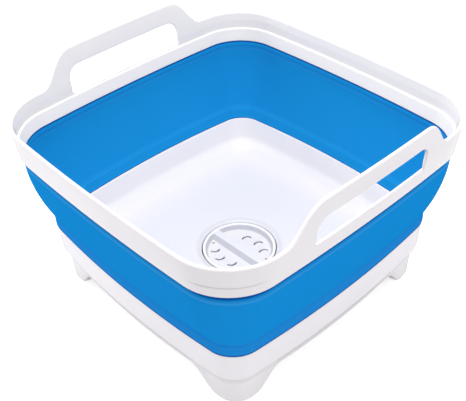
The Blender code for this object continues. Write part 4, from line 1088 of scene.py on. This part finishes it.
def buildStudio():
    # A world that shows white to the camera and in reflections but gives less light, four lamps
    # and white ground.
    world = Finish(bpy.data.worlds.new("studio"), "Background", Color=(1.0, 1.0, 1.0, 1.0))
    sockets = {"Value": world.shown(), "To Min": light["world"], "To Max": 1.0}
    world.drive("Strength", world.add("ShaderNodeMapRange", sockets=sockets))
    bpy.context.scene.world = world.owner
    for name in ("key", "left", "right", "back"):
        addLamp(name, *light[name])
    mesh = bpy.data.meshes.new("ground")
    reach = light["floorReach"]
    corners = [(-reach, -reach, 0), (reach, -reach, 0), (reach, reach, 0), (-reach, reach, 0)]
    mesh.from_pydata(corners, [], [(0, 1, 2, 3)])
    mesh.materials.append(groundFinish())
    ground = placed("ground", mesh)


def addLamp(name, watts, size, place):
    # A round lamp that faces the basin.
    lamp = bpy.data.lights.new(name, "AREA")
    lamp.shape = "DISK"
    lamp.size = size
    lamp.energy = watts
    holder = placed(name, lamp)
    holder.location = place
    holder.rotation_euler = (Vector(place) - Vector(light["aim"])).to_track_quat("Z", "Y").to_euler()


def groundFinish():
    # White paper that glows a little for the camera and in reflections, so it shows white and keeps
    # the shadow.
    paper = (light["floor"], light["floor"], light["floor"], 1.0)
    finish = Finish(
        bpy.data.materials.new("ground_paper"), Roughness=0.9, Specular_IOR_Level=0.0,
        Base_Color=paper, Emission_Strength=light["floorGlow"])
    glow = finish.mixed(finish.shown(), (0.0, 0.0, 0.0, 1.0), (1.0, 1.0, 1.0, 1.0))
    finish.drive("Emission Color", glow)
    return finish.owner


# Everything put together.
print("camera and studio")
bpy.context.scene.view_settings.view_transform = "Standard"
buildCamera()
buildStudio()
print("rim")
# Painted light on the rim's inner faces, painted shade under faces that look down.
buildRim(mouldedWhite(
    "white_polypropylene", whites["rim"], whites["rimShade"],
    inside=whites["rimInsideLit"], under=whites["under"]))
print("tray")
# Painted light on the tray's inner faces and feet, painted shade in the dish and on the flat floor.
buildTray(mouldedWhite(
    "tray_polypropylene", whites["tray"], whites["trayShade"], roughness=0.42,
    inside=whites["trayInsideLit"], paintedShade=dishShade, foot=trayFootLight))
print("wall")
buildWall(elastomerBlue())
print("strainer plug")
# Painted shade in the cup and on the bar's side.
buildStrainer(mouldedWhite(
    "plug_plastic", whites["plug"], whites["plugShade"], roughness=0.34, paintedShade=cupShade))
print("drain fittings")
fitting = (whites["fitting"], whites["fittingShade"])
fittings = {
    "drain_body": mouldedWhite("fitting_plastic", *fitting, roughness=0.40, grain=1500.0, depth=0.03),
    "drain_nut": mouldedWhite("nut_plastic", *fitting, roughness=0.46, grain=1100.0, depth=0.06),
    "plug_stem": mouldedWhite("stem_plastic", *fitting, roughness=0.30, grain=2200.0, depth=0.02),
    "stopper_seal": sealRubber(
        "stopper_rubber", rubbers["seal"], rubbers["sealFleck"], roughness=0.55),
    "flange_gasket": sealRubber(
        "gasket_rubber", rubbers["gasket"], rubbers["gasketFleck"], roughness=0.62),
    "seal_washer": turnedSteel(),
}
for node, finish in fittings.items():
    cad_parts[node].data.materials.clear()
    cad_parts[node].data.materials.append(finish)
